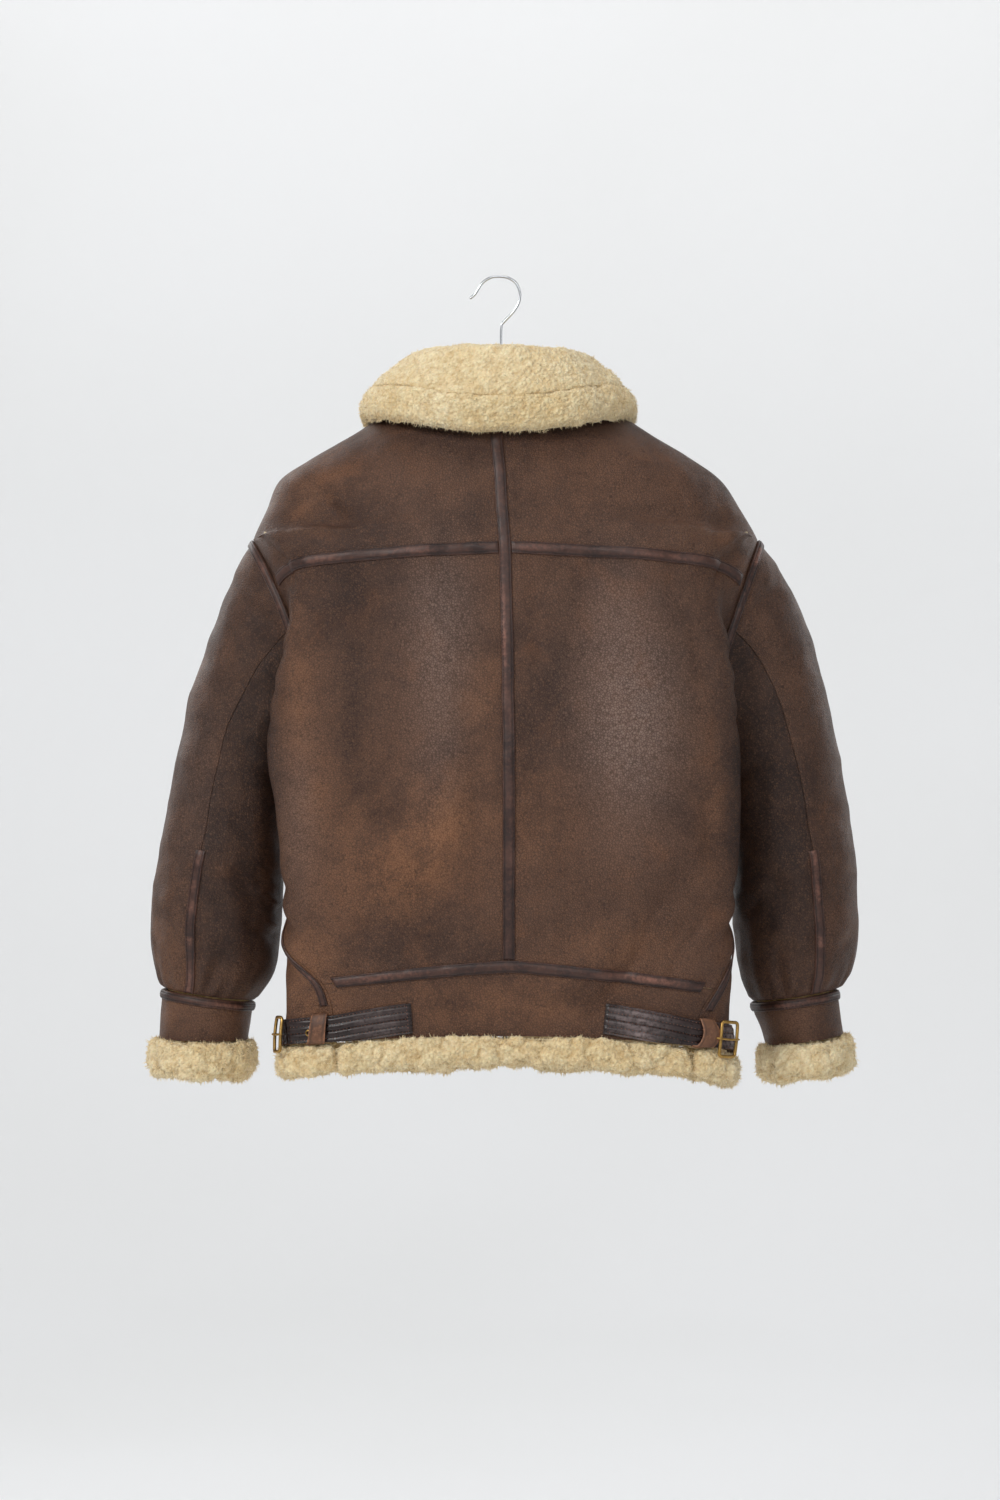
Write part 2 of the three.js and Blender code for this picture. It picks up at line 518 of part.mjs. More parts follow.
// wider gap where the panel edge is the armhole
function bodyPanel(lat, i0, i1, j0, j1, armSide, gap = {}) {
  const g = { u0: SEAM_GAP / 2, u1: SEAM_GAP / 2, w0: SEAM_GAP / 2, w1: SEAM_GAP / 2, ...gap };
  const outer = [], inner = [];
  for (let i = i0; i <= i1; i += 1) {
    const co = [], ci = [];
    for (let j = j0; j <= j1; j += 1) {
      const arm = BODY[j].phi >= 0;
      let u = i, w = j;
      if (i === i0) u = lat.shift(i, j, armSide === 'u0' && arm ? ARM_GAP / 2 : g.u0, 'u');
      if (i === i1) u = lat.shift(i, j, -(armSide === 'u1' && arm ? ARM_GAP / 2 : g.u1), 'u');
      if (j === j0) w = lat.shift(u, j, g.w0, 'w');
      if (j === j1) w = lat.shift(u, j, -g.w1, 'w');
      const p = lat.at(u, w), n = lat.normal(u, w);
      co.push(p); ci.push(add(p, n, -WALL));
    }
    outer.push(co); inner.push(ci);
  }
  return slab(outer, inner, false, (i, j) => lat.slant(i + i0, j + j0));
}

// ---- sleeves, cuffs ------------------------------------------------------
for (const side of ['L', 'R']) {
  const lat = sleeves[side];
  put(`sleeve_${word[side]}_upper`, panel(lat, SEAM_FRONT, NS + SEAM_BACK, 0, lat.nw, WALL, { w0: ARM_GAP / 2 }), 'leather');
  put(`sleeve_${word[side]}_under`, panel(lat, SEAM_BACK, SEAM_FRONT, 0, lat.nw, WALL, { w0: ARM_GAP / 2 }), 'leather');
  put(`cuff_${word[side]}`, panel(cuffs[side], 0, NS, 0, cuffs[side].nw, CUFF_WALL, { w0: 0.3, w1: 0 }), 'leather');
}

// ---- taping strips -------------------------------------------------------
const half = STRIP_W / 2;
const ARM_STRIP = { from: NS - 4.7, to: NS + 4.7 };   // sleeve columns, over the shoulder from front to back
put('strip_centre_back', cover(
  steps(R.collar + 0.6, R.band - 0.24).map((w) => [-half, 0, half].map((mm) => spot(backLattice, backLattice.shift(NB, w, mm, 'u'), w))),
  (t) => STRIP_RISE, STRIP_T), 'trim');
for (const side of ['L', 'R']) {
  const sg = SIGN[side], edge = side === 'L' ? 0 : 2 * NB;
  const from = backLattice.shift(NB, R.yoke, sg * (half + 0.6), 'u');
  const to = edge - sg * 0.3;
  put(`strip_yoke_${word[side]}`, cover(rowStrip(backLattice, steps(from, to, 3), R.yoke, half), STRIP_RISE, STRIP_T), 'trim');
}
put('strip_hem_back', cover(rowStrip(backLattice, steps(0.75, 2 * NB - 0.75), R.band, half), STRIP_RISE, STRIP_T), 'trim');
for (const side of ['L', 'R']) {
  const lat = frontLattice[side];
  const ws = steps(R.under + 1, lat.shift(0, R.belt + BELT_V, -STRAP_W / 2 - 3, 'w'), 3);
  put(`strip_side_${word[side]}`, cover(
    ws.map((w) => [0.6, SIDE_STRIP_W / 2, SIDE_STRIP_W].map((mm) => spot(lat, lat.shift(0, w, mm, 'u'), w))), STRIP_RISE, STRIP_T), 'trim');
  const sl = sleeves[side];
  put(`strip_armhole_${word[side]}`, cover(
    steps(ARM_STRIP.from, ARM_STRIP.to).map((i) => [sl.shift(i, 0, 1.2, 'w'), sl.shift(i, 0, 1.2 + ARM_STRIP_W, 'w')].map((w) => spot(sl, i, w))),
    STRIP_RISE, STRIP_T), 'trim');
  put(`strip_sleeve_${word[side]}`, cover(
    steps(7.2, sl.nw - 0.08, 3).map((w) => [-half + 1, 0, half - 1].map((mm) => spot(sl, sl.shift(SEAM_BACK, w, mm, 'u'), w))),
    STRIP_RISE, STRIP_T), 'trim');
  const cu = cuffs[side];
  put(`strip_cuff_${word[side]}`, cover(
    range(NS + 1).map((i) => [cu.shift(i, 0, 0.8, 'w'), cu.shift(i, 0, 0.8 + CUFF_STRIP_W, 'w')].map((w) => spot(cu, i, w))),
    STRIP_RISE, STRIP_T, true), 'trim');
}

// ---- collar --------------------------------------------------------------
// S names the place on the neck row; fold is the top of the turned collar,
// tip its lower edge, both given for the right side and mirrored for the left
const COLLAR = [
  ['S', 'foldX', 'foldY', 'foldZ', 'tipX', 'tipY', 'tipZ'],
  [0.0, 0, -76, -85, 0, -96, -163],
  [0.3, 34, -71, -85, 50, -95, -162],
  [0.6, 62, -54, -86, 96, -80, -154],
  [0.85, 84, -25, -89, 130, -45, -148],
  [1.0, 96, 0, -94, 145, -4, -146],
  [1.15, 98, 24, -103, 142, 34, -157],
  [1.35, 86, 52, -124, 126, 72, -182],
  [1.6, 58, 74, -150, 92, 94, -210],
  [1.84, 28, 84, -174, 52, 108, -232],
];
const COLLAR_ROWS = rows(COLLAR);
const COLLAR_R = 11;         // of the fold, at the middle of the hide
const COLLAR_T = 12;         // hide and wool
const COLLAR_SKEW = -1.5;    // the collar hangs a little to the left
const NECK_CLEAR = 1.2;
function collarStation(row, side) {
  const sg = SIGN[side];
  const p = bodyPoint(0, side, row.S, false), q = bodyPoint(1, side, row.S, false);
  const rise = unit(sub(p, q));
  const flat = unit([p[0] * 1.0 + 0.001 * sg, p[1] * 1.3, 0]);
  let n = sub(flat, mul(rise, dot(flat, rise)));
  n = unit(n);
  const base = add(add(p, n, -WALL / 2), rise, NECK_CLEAR);
  const fold = [sg * row.foldX + COLLAR_SKEW, row.foldY, row.foldZ];
  const tip = [sg * row.tipX + COLLAR_SKEW, row.tipY, row.tipZ];
  const out = unit([tip[0] - base[0], tip[1] - base[1], 0]);
  const c = [fold[0], fold[1], fold[2] - COLLAR_R];
  const line = [], face = [];
  const into = add(c, out, -COLLAR_R);
  line.push(base); face.push(mul(n, -1));
  line.push(mix(base, into, 0.5)); face.push(unit(add(mul(n, -1), mul(out, -1))));
  for (const deg of [0, 40, 75, 110, 150]) {
    const a = deg * Math.PI / 180;
    const d = add(mul(out, -Math.cos(a)), [0, 0, 1], Math.sin(a));
    line.push(add(c, d, COLLAR_R)); face.push(d);
  }
  const start = line[line.length - 1], run = sub(tip, start);
  const side3 = unit(cross(run, cross(out, [0, 0, 1])));
  let up = side3[2] < 0 ? mul(side3, -1) : side3;
  if (dot(up, out) < 0) up = unit(out);
  for (const t of [0.28, 0.46, 0.64, 0.82, 0.95, 1]) {
    const sag = 4 * Math.sin(Math.PI * t);
    line.push(add(add(start, run, t), up, sag)); face.push(unit(add(up, add(c, [0, 0, 0]) && out, 0.25)));
  }
  return { line, face };
}
const COLLAR_SPLIT = 8;      // the cross seam in the wool
const stations = [
  ...COLLAR_ROWS.slice(1).reverse().map((r) => collarStation(r, 'L')),
  collarStation(COLLAR_ROWS[0], 'R'),
  ...COLLAR_ROWS.slice(1).map((r) => collarStation(r, 'R')),
];
function collarPiece(a, b, cutA, cutB) {
  const last = stations[0].line.length - 1;
  const outer = [], inner = [];
  for (const st of stations) {
    const co = [], ci = [];
    for (let k = a; k <= b; k += 1) {
      let p = st.line[k];
      const f = st.face[k];
      if (k === a && cutA) p = mix(p, st.line[k + 1], cutA / len(sub(st.line[k + 1], p)));
      if (k === b && cutB) p = mix(p, st.line[k - 1], cutB / len(sub(st.line[k - 1], p)));
      const t = k === last ? 0.45 : k === last - 1 ? 0.85 : k === 0 ? 0.55 : 1;
      co.push(add(p, f, COLLAR_T / 2 * t)); ci.push(add(p, f, -COLLAR_T / 2 * t));
    }
    outer.push(co); inner.push(ci);
  }
  return slab(outer, inner);
}
put('collar_upper', collarPiece(0, COLLAR_SPLIT, 0, SEAM_GAP / 2), 'wool');
put('collar_lower', collarPiece(COLLAR_SPLIT, stations[0].line.length - 1, SEAM_GAP / 2, 0), 'wool');

// ---- wool trims ----------------------------------------------------------
const HEM_FUR = { high: 33, thick: 24, clear: 1.0 };
const CUFF_FUR = { high: 42, thick: 25, clear: 0.5 };
const FUR_SIDES = 10;
function furLoop(top, down, across, size, grow = 1) {
  const c = add(top, down, size.clear + size.high / 2);
  return range(FUR_SIDES).map((k) => {
    const a = (k / FUR_SIDES + 0.5 / FUR_SIDES) * 2 * Math.PI;
    const sup = (v) => Math.sign(v) * Math.abs(v) ** 0.75;
    return add(add(c, across, sup(Math.cos(a)) * size.thick / 2 * grow), down, sup(Math.sin(a)) * size.high / 2 * grow);
  });
}
function hemFur(spots) {
  const loops = spots.map(({ lat, u, w }, k) => {
    const n = lat.normal(u, w);
    const across = unit([n[0], n[1], 0]);
    const end = k === 0 || k === spots.length - 1;
    return furLoop(add(lat.at(u, w), n, -WALL / 2), [0, 0, -1], across, HEM_FUR, end ? 0.86 : 1);
  });
  return loft(loops);
}
const lowest = R.hem;
put('hem_fur_back', hemFur([0.12, ...range(2 * NB - 1).map((k) => k + 1), 2 * NB - 0.12].map((u) => spot(backLattice, u, lowest))), 'wool');
for (const side of ['L', 'R']) {
  put(`hem_fur_${word[side]}`, hemFur([0.12, 0.6, ...range(NF - 1).map((k) => k + 1), NF - 0.1].map((u) => spot(frontLattice[side], u, lowest))), 'wool');
  const cu = cuffs[side], T = rows(CUFF[side]), last = T[T.length - 1];
  const mid = [(last.outX + last.inX) / 2, last.midY, 0];
  const loops = range(NS).map((i) => {
    const n = cu.normal(i, cu.nw), p = cu.at(i, cu.nw);
    return furLoop(add(p, unit([n[0], n[1], 0]), -CUFF_WALL / 2 + 1.5), [SIGN[side] * 0.06, 0, -1], unit([n[0], n[1], 0]), CUFF_FUR);
  });
  put(`cuff_fur_${word[side]}`, loft(loops, true), 'wool');
}

// ---- side adjuster straps ------------------------------------------------
// where each strap starts, its keeper and its buckle: back columns count from
// the centre, front columns from the side seam
const ADJUST = {
  L: { start: 4.1, keeper: [8.15, 8.95], buckle: 2.25, seat: 0.16 },
  R: { start: 3.75, keeper: [7.6, 8.5], buckle: 0.9, seat: 0.16 },
};
const beltW = R.belt + BELT_V;
function strapSpots(lat, us, width, levels) {
  return us.map((u) => {
    const a = lat.shift(u, beltW, -width / 2, 'w'), b = Math.min(lat.shift(u, beltW, width / 2, 'w'), R.hem - 0.005);
    return range(levels + 1).map((k) => spot(lat, u, a + (b - a) * (k / levels)));
  });
}
const frames = {};
for (const side of ['L', 'R']) {
  const sg = SIGN[side], ad = ADJUST[side], fl = frontLattice[side];
  const edge = side === 'L' ? 0 : 2 * NB;
  const backUs = steps(NB + sg * ad.start, edge, 2);
  const frontUs = steps(0, ad.buckle, 3).slice(1);
  const line = [...strapSpots(backLattice, backUs, STRAP_W, 3), ...strapSpots(fl, frontUs, STRAP_W, 3)];
  const n = line.length - 1;
  put(`strap_${word[side]}`, cover(line, (t) => STRAP_RISE + (STRAP_LIFT - STRAP_RISE) * Math.min(t * 2, 1), STRAP_T), 'strap');
  // the front half starts under the buckle and is sewn down on the front
  const gapU = fl.shift(ad.buckle, beltW, 1.5, 'u');
  put(`front_strap_${word[side]}`, cover(strapSpots(fl, steps(gapU, 7.4, 2), STRAP_W, 3),
    (t) => STRAP_LIFT + (STRAP_RISE - STRAP_LIFT) * Math.min(t * 2, 1), STRAP_T), 'strap');
  // keeper: a flat loop round the strap
  const k0 = edge - sg * (NB - ad.keeper[0]), k1 = edge - sg * (NB - ad.keeper[1]);
  const ring = (u) => {
    const a = backLattice.shift(u, beltW, -STRAP_W / 2 - 0.5, 'w'), b = backLattice.shift(u, beltW, STRAP_W / 2 + 0.5, 'w');
    const put2 = (w, h, out) => add(add(backLattice.at(u, w), backLattice.normal(u, w), h), unit(sub(backLattice.at(u, b), backLattice.at(u, a))), out);
    const low = 0.45, top = STRAP_LIFT + STRAP_T + 0.5;
    const ws = range(4).map((k) => a + (b - a) * (k / 3));
    return {
      outer: [...ws.map((w, k) => put2(w, top + 1.6, k === 0 ? -1.5 : k === 3 ? 1.5 : 0)), ...[...ws].reverse().map((w, k) => put2(w, low, k === 3 ? -1.5 : k === 0 ? 1.5 : 0))],
      inner: [...ws.map((w) => put2(w, top, 0)), ...[...ws].reverse().map((w) => put2(w, low + 0.9, 0))],
    };
  };
  const ends = [k0, k1].map(ring);
  const tris = [], m = ends[0].outer.length;
  for (const i of range(m)) {
    const j = (i + 1) % m;
    quad(tris, ends[0].outer[i], ends[0].outer[j], ends[1].outer[j], ends[1].outer[i]);
    quad(tris, ends[0].inner[j], ends[0].inner[i], ends[1].inner[i], ends[1].inner[j]);
    quad(tris, ends[0].outer[j], ends[0].outer[i], ends[0].inner[i], ends[0].inner[j]);
    quad(tris, ends[1].outer[i], ends[1].outer[j], ends[1].inner[j], ends[1].inner[i]);
  }
  put(`keeper_${word[side]}`, meshFrom(tris), 'tan');
  // buckle: a rounded frame standing on the strap, and its prong
  const p = fl.at(ad.buckle, beltW), nn = fl.normal(ad.buckle, beltW);
  const along = unit(sub(fl.at(ad.buckle + 0.3, beltW), fl.at(ad.buckle - 0.3, beltW)));
  const up = unit(cross(nn, along)), upz = up[2] < 0 ? mul(up, -1) : up;
  const tang = unit(cross(upz, nn));
  const M = new THREE.Matrix4().makeBasis(new THREE.Vector3(...tang), new THREE.Vector3(...upz), new THREE.Vector3(...unit(cross(tang, upz))));
  frames[side] = { p, n: unit(cross(tang, upz)), M };
}

// ---- buckles, eyelet -----------------------------------------------------
const EYELET = { u: 0.42, r: 3.8, hole: 2 };
const BUCKLE = { high: 39, wide: 22, bar: 3.6, thick: 3.2, corner: 4 };
function rounded(w, h, r) {
  const s = new THREE.Shape();
  const corners = [[1, -1, -0.5], [1, 1, 0], [-1, 1, 0.5], [-1, -1, 1]];
  const pts = corners.flatMap(([sx, sy, a0]) => range(5).map((k) => {
    const a = (a0 + k / 8) * Math.PI;
    return new THREE.Vector2(sx * (w / 2 - r) + r * Math.cos(a), sy * (h / 2 - r) + r * Math.sin(a));
  }));
  s.setFromPoints(pts);
  return s;
}
function plate(shape, depth, z0) {
  const g = new THREE.ExtrudeGeometry(shape, { depth, bevelEnabled: false, curveSegments: 4 });
  g.translate(0, 0, z0);
  return g;
}
const strapTop = STRAP_LIFT + STRAP_T;
const BUCKLE_LIFT = { L: strapTop + 3.4, R: strapTop + 3.4 };
for (const side of ['L', 'R']) {
  const { p, M, n } = frames[side];
  const seat = BUCKLE_LIFT[side];
  const s = rounded(BUCKLE.wide, BUCKLE.high, BUCKLE.corner);
  s.holes.push(new THREE.Path(rounded(BUCKLE.wide - 2 * BUCKLE.bar, BUCKLE.high - 2 * BUCKLE.bar, 2).getPoints(4).reverse()));
  const place = (g) => g.applyMatrix4(new THREE.Matrix4().makeTranslation(...add(p, n, seat)).multiply(M));
  put(`buckle_${word[side]}`, place(plate(s, BUCKLE.thick, 0)), 'brass');
  put(`prong_${word[side]}`, place(plate(rounded(BUCKLE.wide + 3, 2.6, 0.8), 1.6, BUCKLE.thick + 0.4)), 'brass');
}
{
  const ringShape = new THREE.Shape(); ringShape.absarc(0, 0, EYELET.r, 0, 2 * Math.PI, false);
  const hole = new THREE.Path(); hole.absarc(0, 0, EYELET.hole, 0, 2 * Math.PI, true); ringShape.holes.push(hole);
  const g = plate(ringShape, 1.0, 0);
  const fl = frontLattice.L, c = fl.at(EYELET.u, beltW), cn = fl.normal(EYELET.u, beltW);
  g.applyQuaternion(new THREE.Quaternion().setFromUnitVectors(new THREE.Vector3(0, 0, 1), new THREE.Vector3(...cn)));
  g.translate(...add(c, cn, strapTop + 0.6));
  put('eyelet_left', g, 'brass');
}

// ---- front zip -----------------------------------------------------------
const ZIP = { tapeIn: 2.7, tapeOut: FRONT_EDGE - 0.5, tapeT: 1.4, tapeDeep: 3.4, chain: 2.2, chainT: 2.4, chainDeep: 2.6 };
const zipRows = range(NROW + 1).map((j) => [0, BODY[j].frontY, BODY[j].frontZ]);
const zipNormal = (j) => {
  const a = zipRows[Math.max(j - 1, 0)], b = zipRows[Math.min(j + 1, NROW)];
  const d = unit(sub(b, a));
  return unit([0, -d[2], d[1]]);
};
function zipSlab(x0, x1, deep, thick, j0) {
  const js = range(NROW + 1 - j0).map((k) => k + j0);
  const grid = (d) => [x0, x1].map((x) => js.map((j) => add([x, zipRows[j][1], zipRows[j][2]], zipNormal(j), -d)));
  return slab(grid(deep), grid(deep + thick));
}
put('zip_tape_left', zipSlab(-ZIP.tapeOut, -ZIP.tapeIn, ZIP.tapeDeep, ZIP.tapeT, 0), 'tape');
put('zip_tape_right', zipSlab(ZIP.tapeIn, ZIP.tapeOut, ZIP.tapeDeep, ZIP.tapeT, 0), 'tape');
put('zip_chain', zipSlab(-ZIP.chain, ZIP.chain, ZIP.chainDeep, ZIP.chainT, 1), 'brass');

// slider and pull are drawn flat, y up the zip and z outward, then seated
const SLIDER = { row: R.slope + 0.5, wide: 10, high: 17, thick: 2.6, barR: 1, pivot: 6, post: 1.6, gap: 2.6 };
const slMid = mix(zipRows[2], zipRows[3], 0.5);
const slUp = unit(sub(zipRows[2], zipRows[3]));
const slN = cross(slUp, [1, 0, 0]);
const seatM = new THREE.Matrix4().makeBasis(new THREE.Vector3(...unit(cross(slUp, slN))), new THREE.Vector3(...slUp), new THREE.Vector3(...slN));
seatM.setPosition(...add(slMid, slN, -2.1));
// plate, two posts and a bar across them
{
  const w = SLIDER.wide / 2, h = SLIDER.high / 2, t = SLIDER.thick, pv = SLIDER.pivot;
  const inX = SLIDER.gap, barY = h - 4.5;
  const Module = (await import('manifold-3d')).default;
  const wasm = await Module();
  wasm.setup();
  const { Manifold, Mesh } = wasm;
  const toManifold = (g) => {
    const pos = g.toNonIndexed ? (g.index ? g.toNonIndexed() : g).attributes.position.array : g.attributes.position.array;
    const key = new Map(), verts = [], idx = [];
    for (let i = 0; i < pos.length; i += 3) {
      const k = `${pos[i].toFixed(4)},${pos[i + 1].toFixed(4)},${pos[i + 2].toFixed(4)}`;
      if (!key.has(k)) { key.set(k, verts.length / 3); verts.push(pos[i], pos[i + 1], pos[i + 2]); }
      idx.push(key.get(k));
    }
    const tri = [];
    for (let i = 0; i < idx.length; i += 3) {
      const [a, b, c] = [idx[i], idx[i + 1], idx[i + 2]];
      if (a !== b && b !== c && a !== c) tri.push(a, b, c);
    }
    return new Manifold(new Mesh({ numProp: 3, vertProperties: new Float32Array(verts), triVerts: new Uint32Array(tri) }));
  };
  const toGeometry = (m) => {
    const o = m.getMesh(), out = new Float32Array(o.triVerts.length * 3);
    o.triVerts.forEach((v, k) => { for (const c of [0, 1, 2]) out[k * 3 + c] = o.vertProperties[v * o.numProp + c]; });
    const g = new THREE.BufferGeometry();
    g.setAttribute('position', new THREE.BufferAttribute(out, 3));
    g.computeVertexNormals();
    return g;
  };
  const box = (x, y, z, cx, cy, cz) => toManifold(new THREE.BoxGeometry(x, y, z).translate(cx, cy, cz));
  const base = toManifold(plate(rounded(2 * w, 2 * h, 3), t, 0));
  const posts = [-1, 1].map((s) => box(SLIDER.post, 3, pv + 1 - t / 2, s * (inX + SLIDER.post / 2), barY, (pv + 1 + t / 2) / 2));
  const bar = toManifold(new THREE.CylinderGeometry(SLIDER.barR, SLIDER.barR, 2 * inX + SLIDER.post, 14).rotateZ(Math.PI / 2).translate(0, barY, pv));
  const slider = toGeometry(base.add(posts[0]).add(posts[1]).add(bar));
  slider.applyMatrix4(seatM);
  put('zip_slider', slider, 'brass');
  // pull: an eye round the bar and a tab, turning about the bar
  const eye = toManifold(new THREE.CylinderGeometry(2.9, 2.9, 4.4, 18).rotateZ(Math.PI / 2).translate(0, barY, pv));
  const tab = toManifold(plate(rounded(8, 26, 2.5), 1.6, 0).translate(0, barY - 15.2, pv - 0.8));
  const neck = toManifold(plate(rounded(4.4, 6, 0.3), 1.6, 0).translate(0, barY - 3.4, pv - 0.8));
  const boxHole = toManifold(new THREE.CylinderGeometry(1.75, 1.75, 6, 18).rotateZ(Math.PI / 2).translate(0, barY, pv));
  const pull = toGeometry(eye.add(neck).add(tab).subtract(boxHole));
  pull.applyMatrix4(seatM);
  put('zip_pull', pull, 'brass');
}

// ---- hanger --------------------------------------------------------------
const HOOK = [
  ['x', 'z'],
  [1.5, -119.8], [1.5, -84], [1.5, -52], [4.6, -45.6], [14, -35.5], [19.6, -26.3], [21.2, -17], [19.2, -9.6], [15, -3.7],
  [8.2, 0.2], [0, 1.5], [-7.4, 1.1], [-14, -1.7], [-19.4, -6.2], [-22.6, -11], [-26, -16.6], [-31.6, -21.9],
];
{
  const pts = rows(HOOK).map((r) => new THREE.Vector3(r.x, 0, r.z));
  const curve = new THREE.CatmullRomCurve3(pts, false, 'centripetal');
  const n = 46;
  const loops = range(n + 1).map((k) => {
    const p = curve.getPointAt(k / n), d = curve.getTangentAt(k / n);
    const side = [d.z, 0, -d.x];
    return range(8).map((i) => {
      const a = (i + 0.5) / 8 * 2 * Math.PI, r = WIRE_R / Math.cos(Math.PI / 8) * 0.97;
      return add(add([p.x, p.y, p.z], side, Math.cos(a) * r), [0, 1, 0], Math.sin(a) * r);
    });
  });
  put('hanger_hook', loft(loops), 'steel');
}
// a plain shaped bar under the shoulder ridge
const BAR_Y = -3;
const BAR = [
  ['x', 'z', 'deep', 'high'],
  [-204, -221, 14, 9], [-196, -218, 19, 11], [-158, -195, 20, 13], [-119, -171, 20, 13], [-80, -148, 20, 13],
  [-40, -135, 20, 15], [0, -130, 20, 18], [40, -135, 20, 15], [82, -148, 20, 13], [122, -171, 20, 13], [161, -195, 20, 13], [199, -218, 19, 11], [207, -222, 14, 9],
];
{
  const T = rows(BAR);
  const loops = T.map((r, k) => {
    const a = T[Math.max(k - 1, 0)], b = T[Math.min(k + 1, T.length - 1)];
    const d = unit([b.x - a.x, 0, b.z - a.z]), up = [-d[2], 0, d[0]];
    return range(10).map((i) => {
      const t = (i + 0.5) / 10 * 2 * Math.PI;
      const sup = (v) => Math.sign(v) * Math.abs(v) ** 0.8;
      return add(add([r.x, BAR_Y, r.z], up, sup(Math.sin(t)) * r.high / 2), [0, 1, 0], sup(Math.cos(t)) * r.deep / 2);
    });
  });
  put('hanger_body', loft(loops), 'wood');
}

export default group;
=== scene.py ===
"""Looks for the shearling coat: every piece is worked out from the CAD's own tables, in mm, then set down in metres."""
import math
import bpy
import numpy as np
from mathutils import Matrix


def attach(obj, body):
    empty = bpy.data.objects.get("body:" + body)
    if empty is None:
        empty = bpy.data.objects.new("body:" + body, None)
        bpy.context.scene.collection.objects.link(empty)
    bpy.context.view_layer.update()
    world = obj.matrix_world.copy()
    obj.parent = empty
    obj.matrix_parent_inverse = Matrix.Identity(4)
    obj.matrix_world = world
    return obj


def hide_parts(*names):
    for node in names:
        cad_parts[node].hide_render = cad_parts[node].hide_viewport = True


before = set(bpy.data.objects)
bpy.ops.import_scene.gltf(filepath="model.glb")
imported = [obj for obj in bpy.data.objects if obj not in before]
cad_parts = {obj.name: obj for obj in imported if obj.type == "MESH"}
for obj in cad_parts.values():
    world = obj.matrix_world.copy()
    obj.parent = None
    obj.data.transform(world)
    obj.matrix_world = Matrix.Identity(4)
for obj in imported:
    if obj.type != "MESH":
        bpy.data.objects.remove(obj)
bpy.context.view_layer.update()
scene = bpy.context.scene

# ---- camera -----------------------------------------------------------------
cam_data = bpy.data.cameras.new("camera")
cam_data.sensor_width = 36
cam_data.lens = 91.43
cam = bpy.data.objects.new("camera", cam_data)
cam.location = (0, -4.0, -0.4956)
cam.rotation_euler = (math.radians(90), 0, 0)
scene.collection.objects.link(cam)
scene.camera = cam
scene.view_settings.view_transform = "Standard"

# ---- sizes shared with the CAD ------------------------------------------------
SHELL = 5.5                  # leather and clipped wool as shown
STRIP_W, SIDE_STRIP_W, CUFF_STRIP_W, ARM_STRIP_W = 12.5, 9.0, 9.0, 9.0
STRIP_RISE, STRIP_T = 0.5, 1.9
STRAP_W, STRAP_T, STRAP_RISE, STRAP_LIFT = 32.0, 2.8, 0.6, 1.9
FRONT_EDGE, BELT_V, SIDE_TUCK = 8.0, 0.43, 0.65
HALF_DEPTH = 62.0
SG = {"L": -1, "R": 1}
WORD = {"L": "left", "R": "right"}
ARMHOLE = {"L": dict(top=(-258.3, -275.1), low=(-192.2, -479.9), bow=15),
           "R": dict(top=(269.9, -275.1), low=(201.6, -479.9), bow=3)}
COLS = ["name", "backZ", "frontZ", "edgeZL", "edgeZR", "edgeXL", "edgeXR", "cornXL", "cornXR", "cornY", "backY", "frontY", "midX", "seamL", "seamR", "phi"]
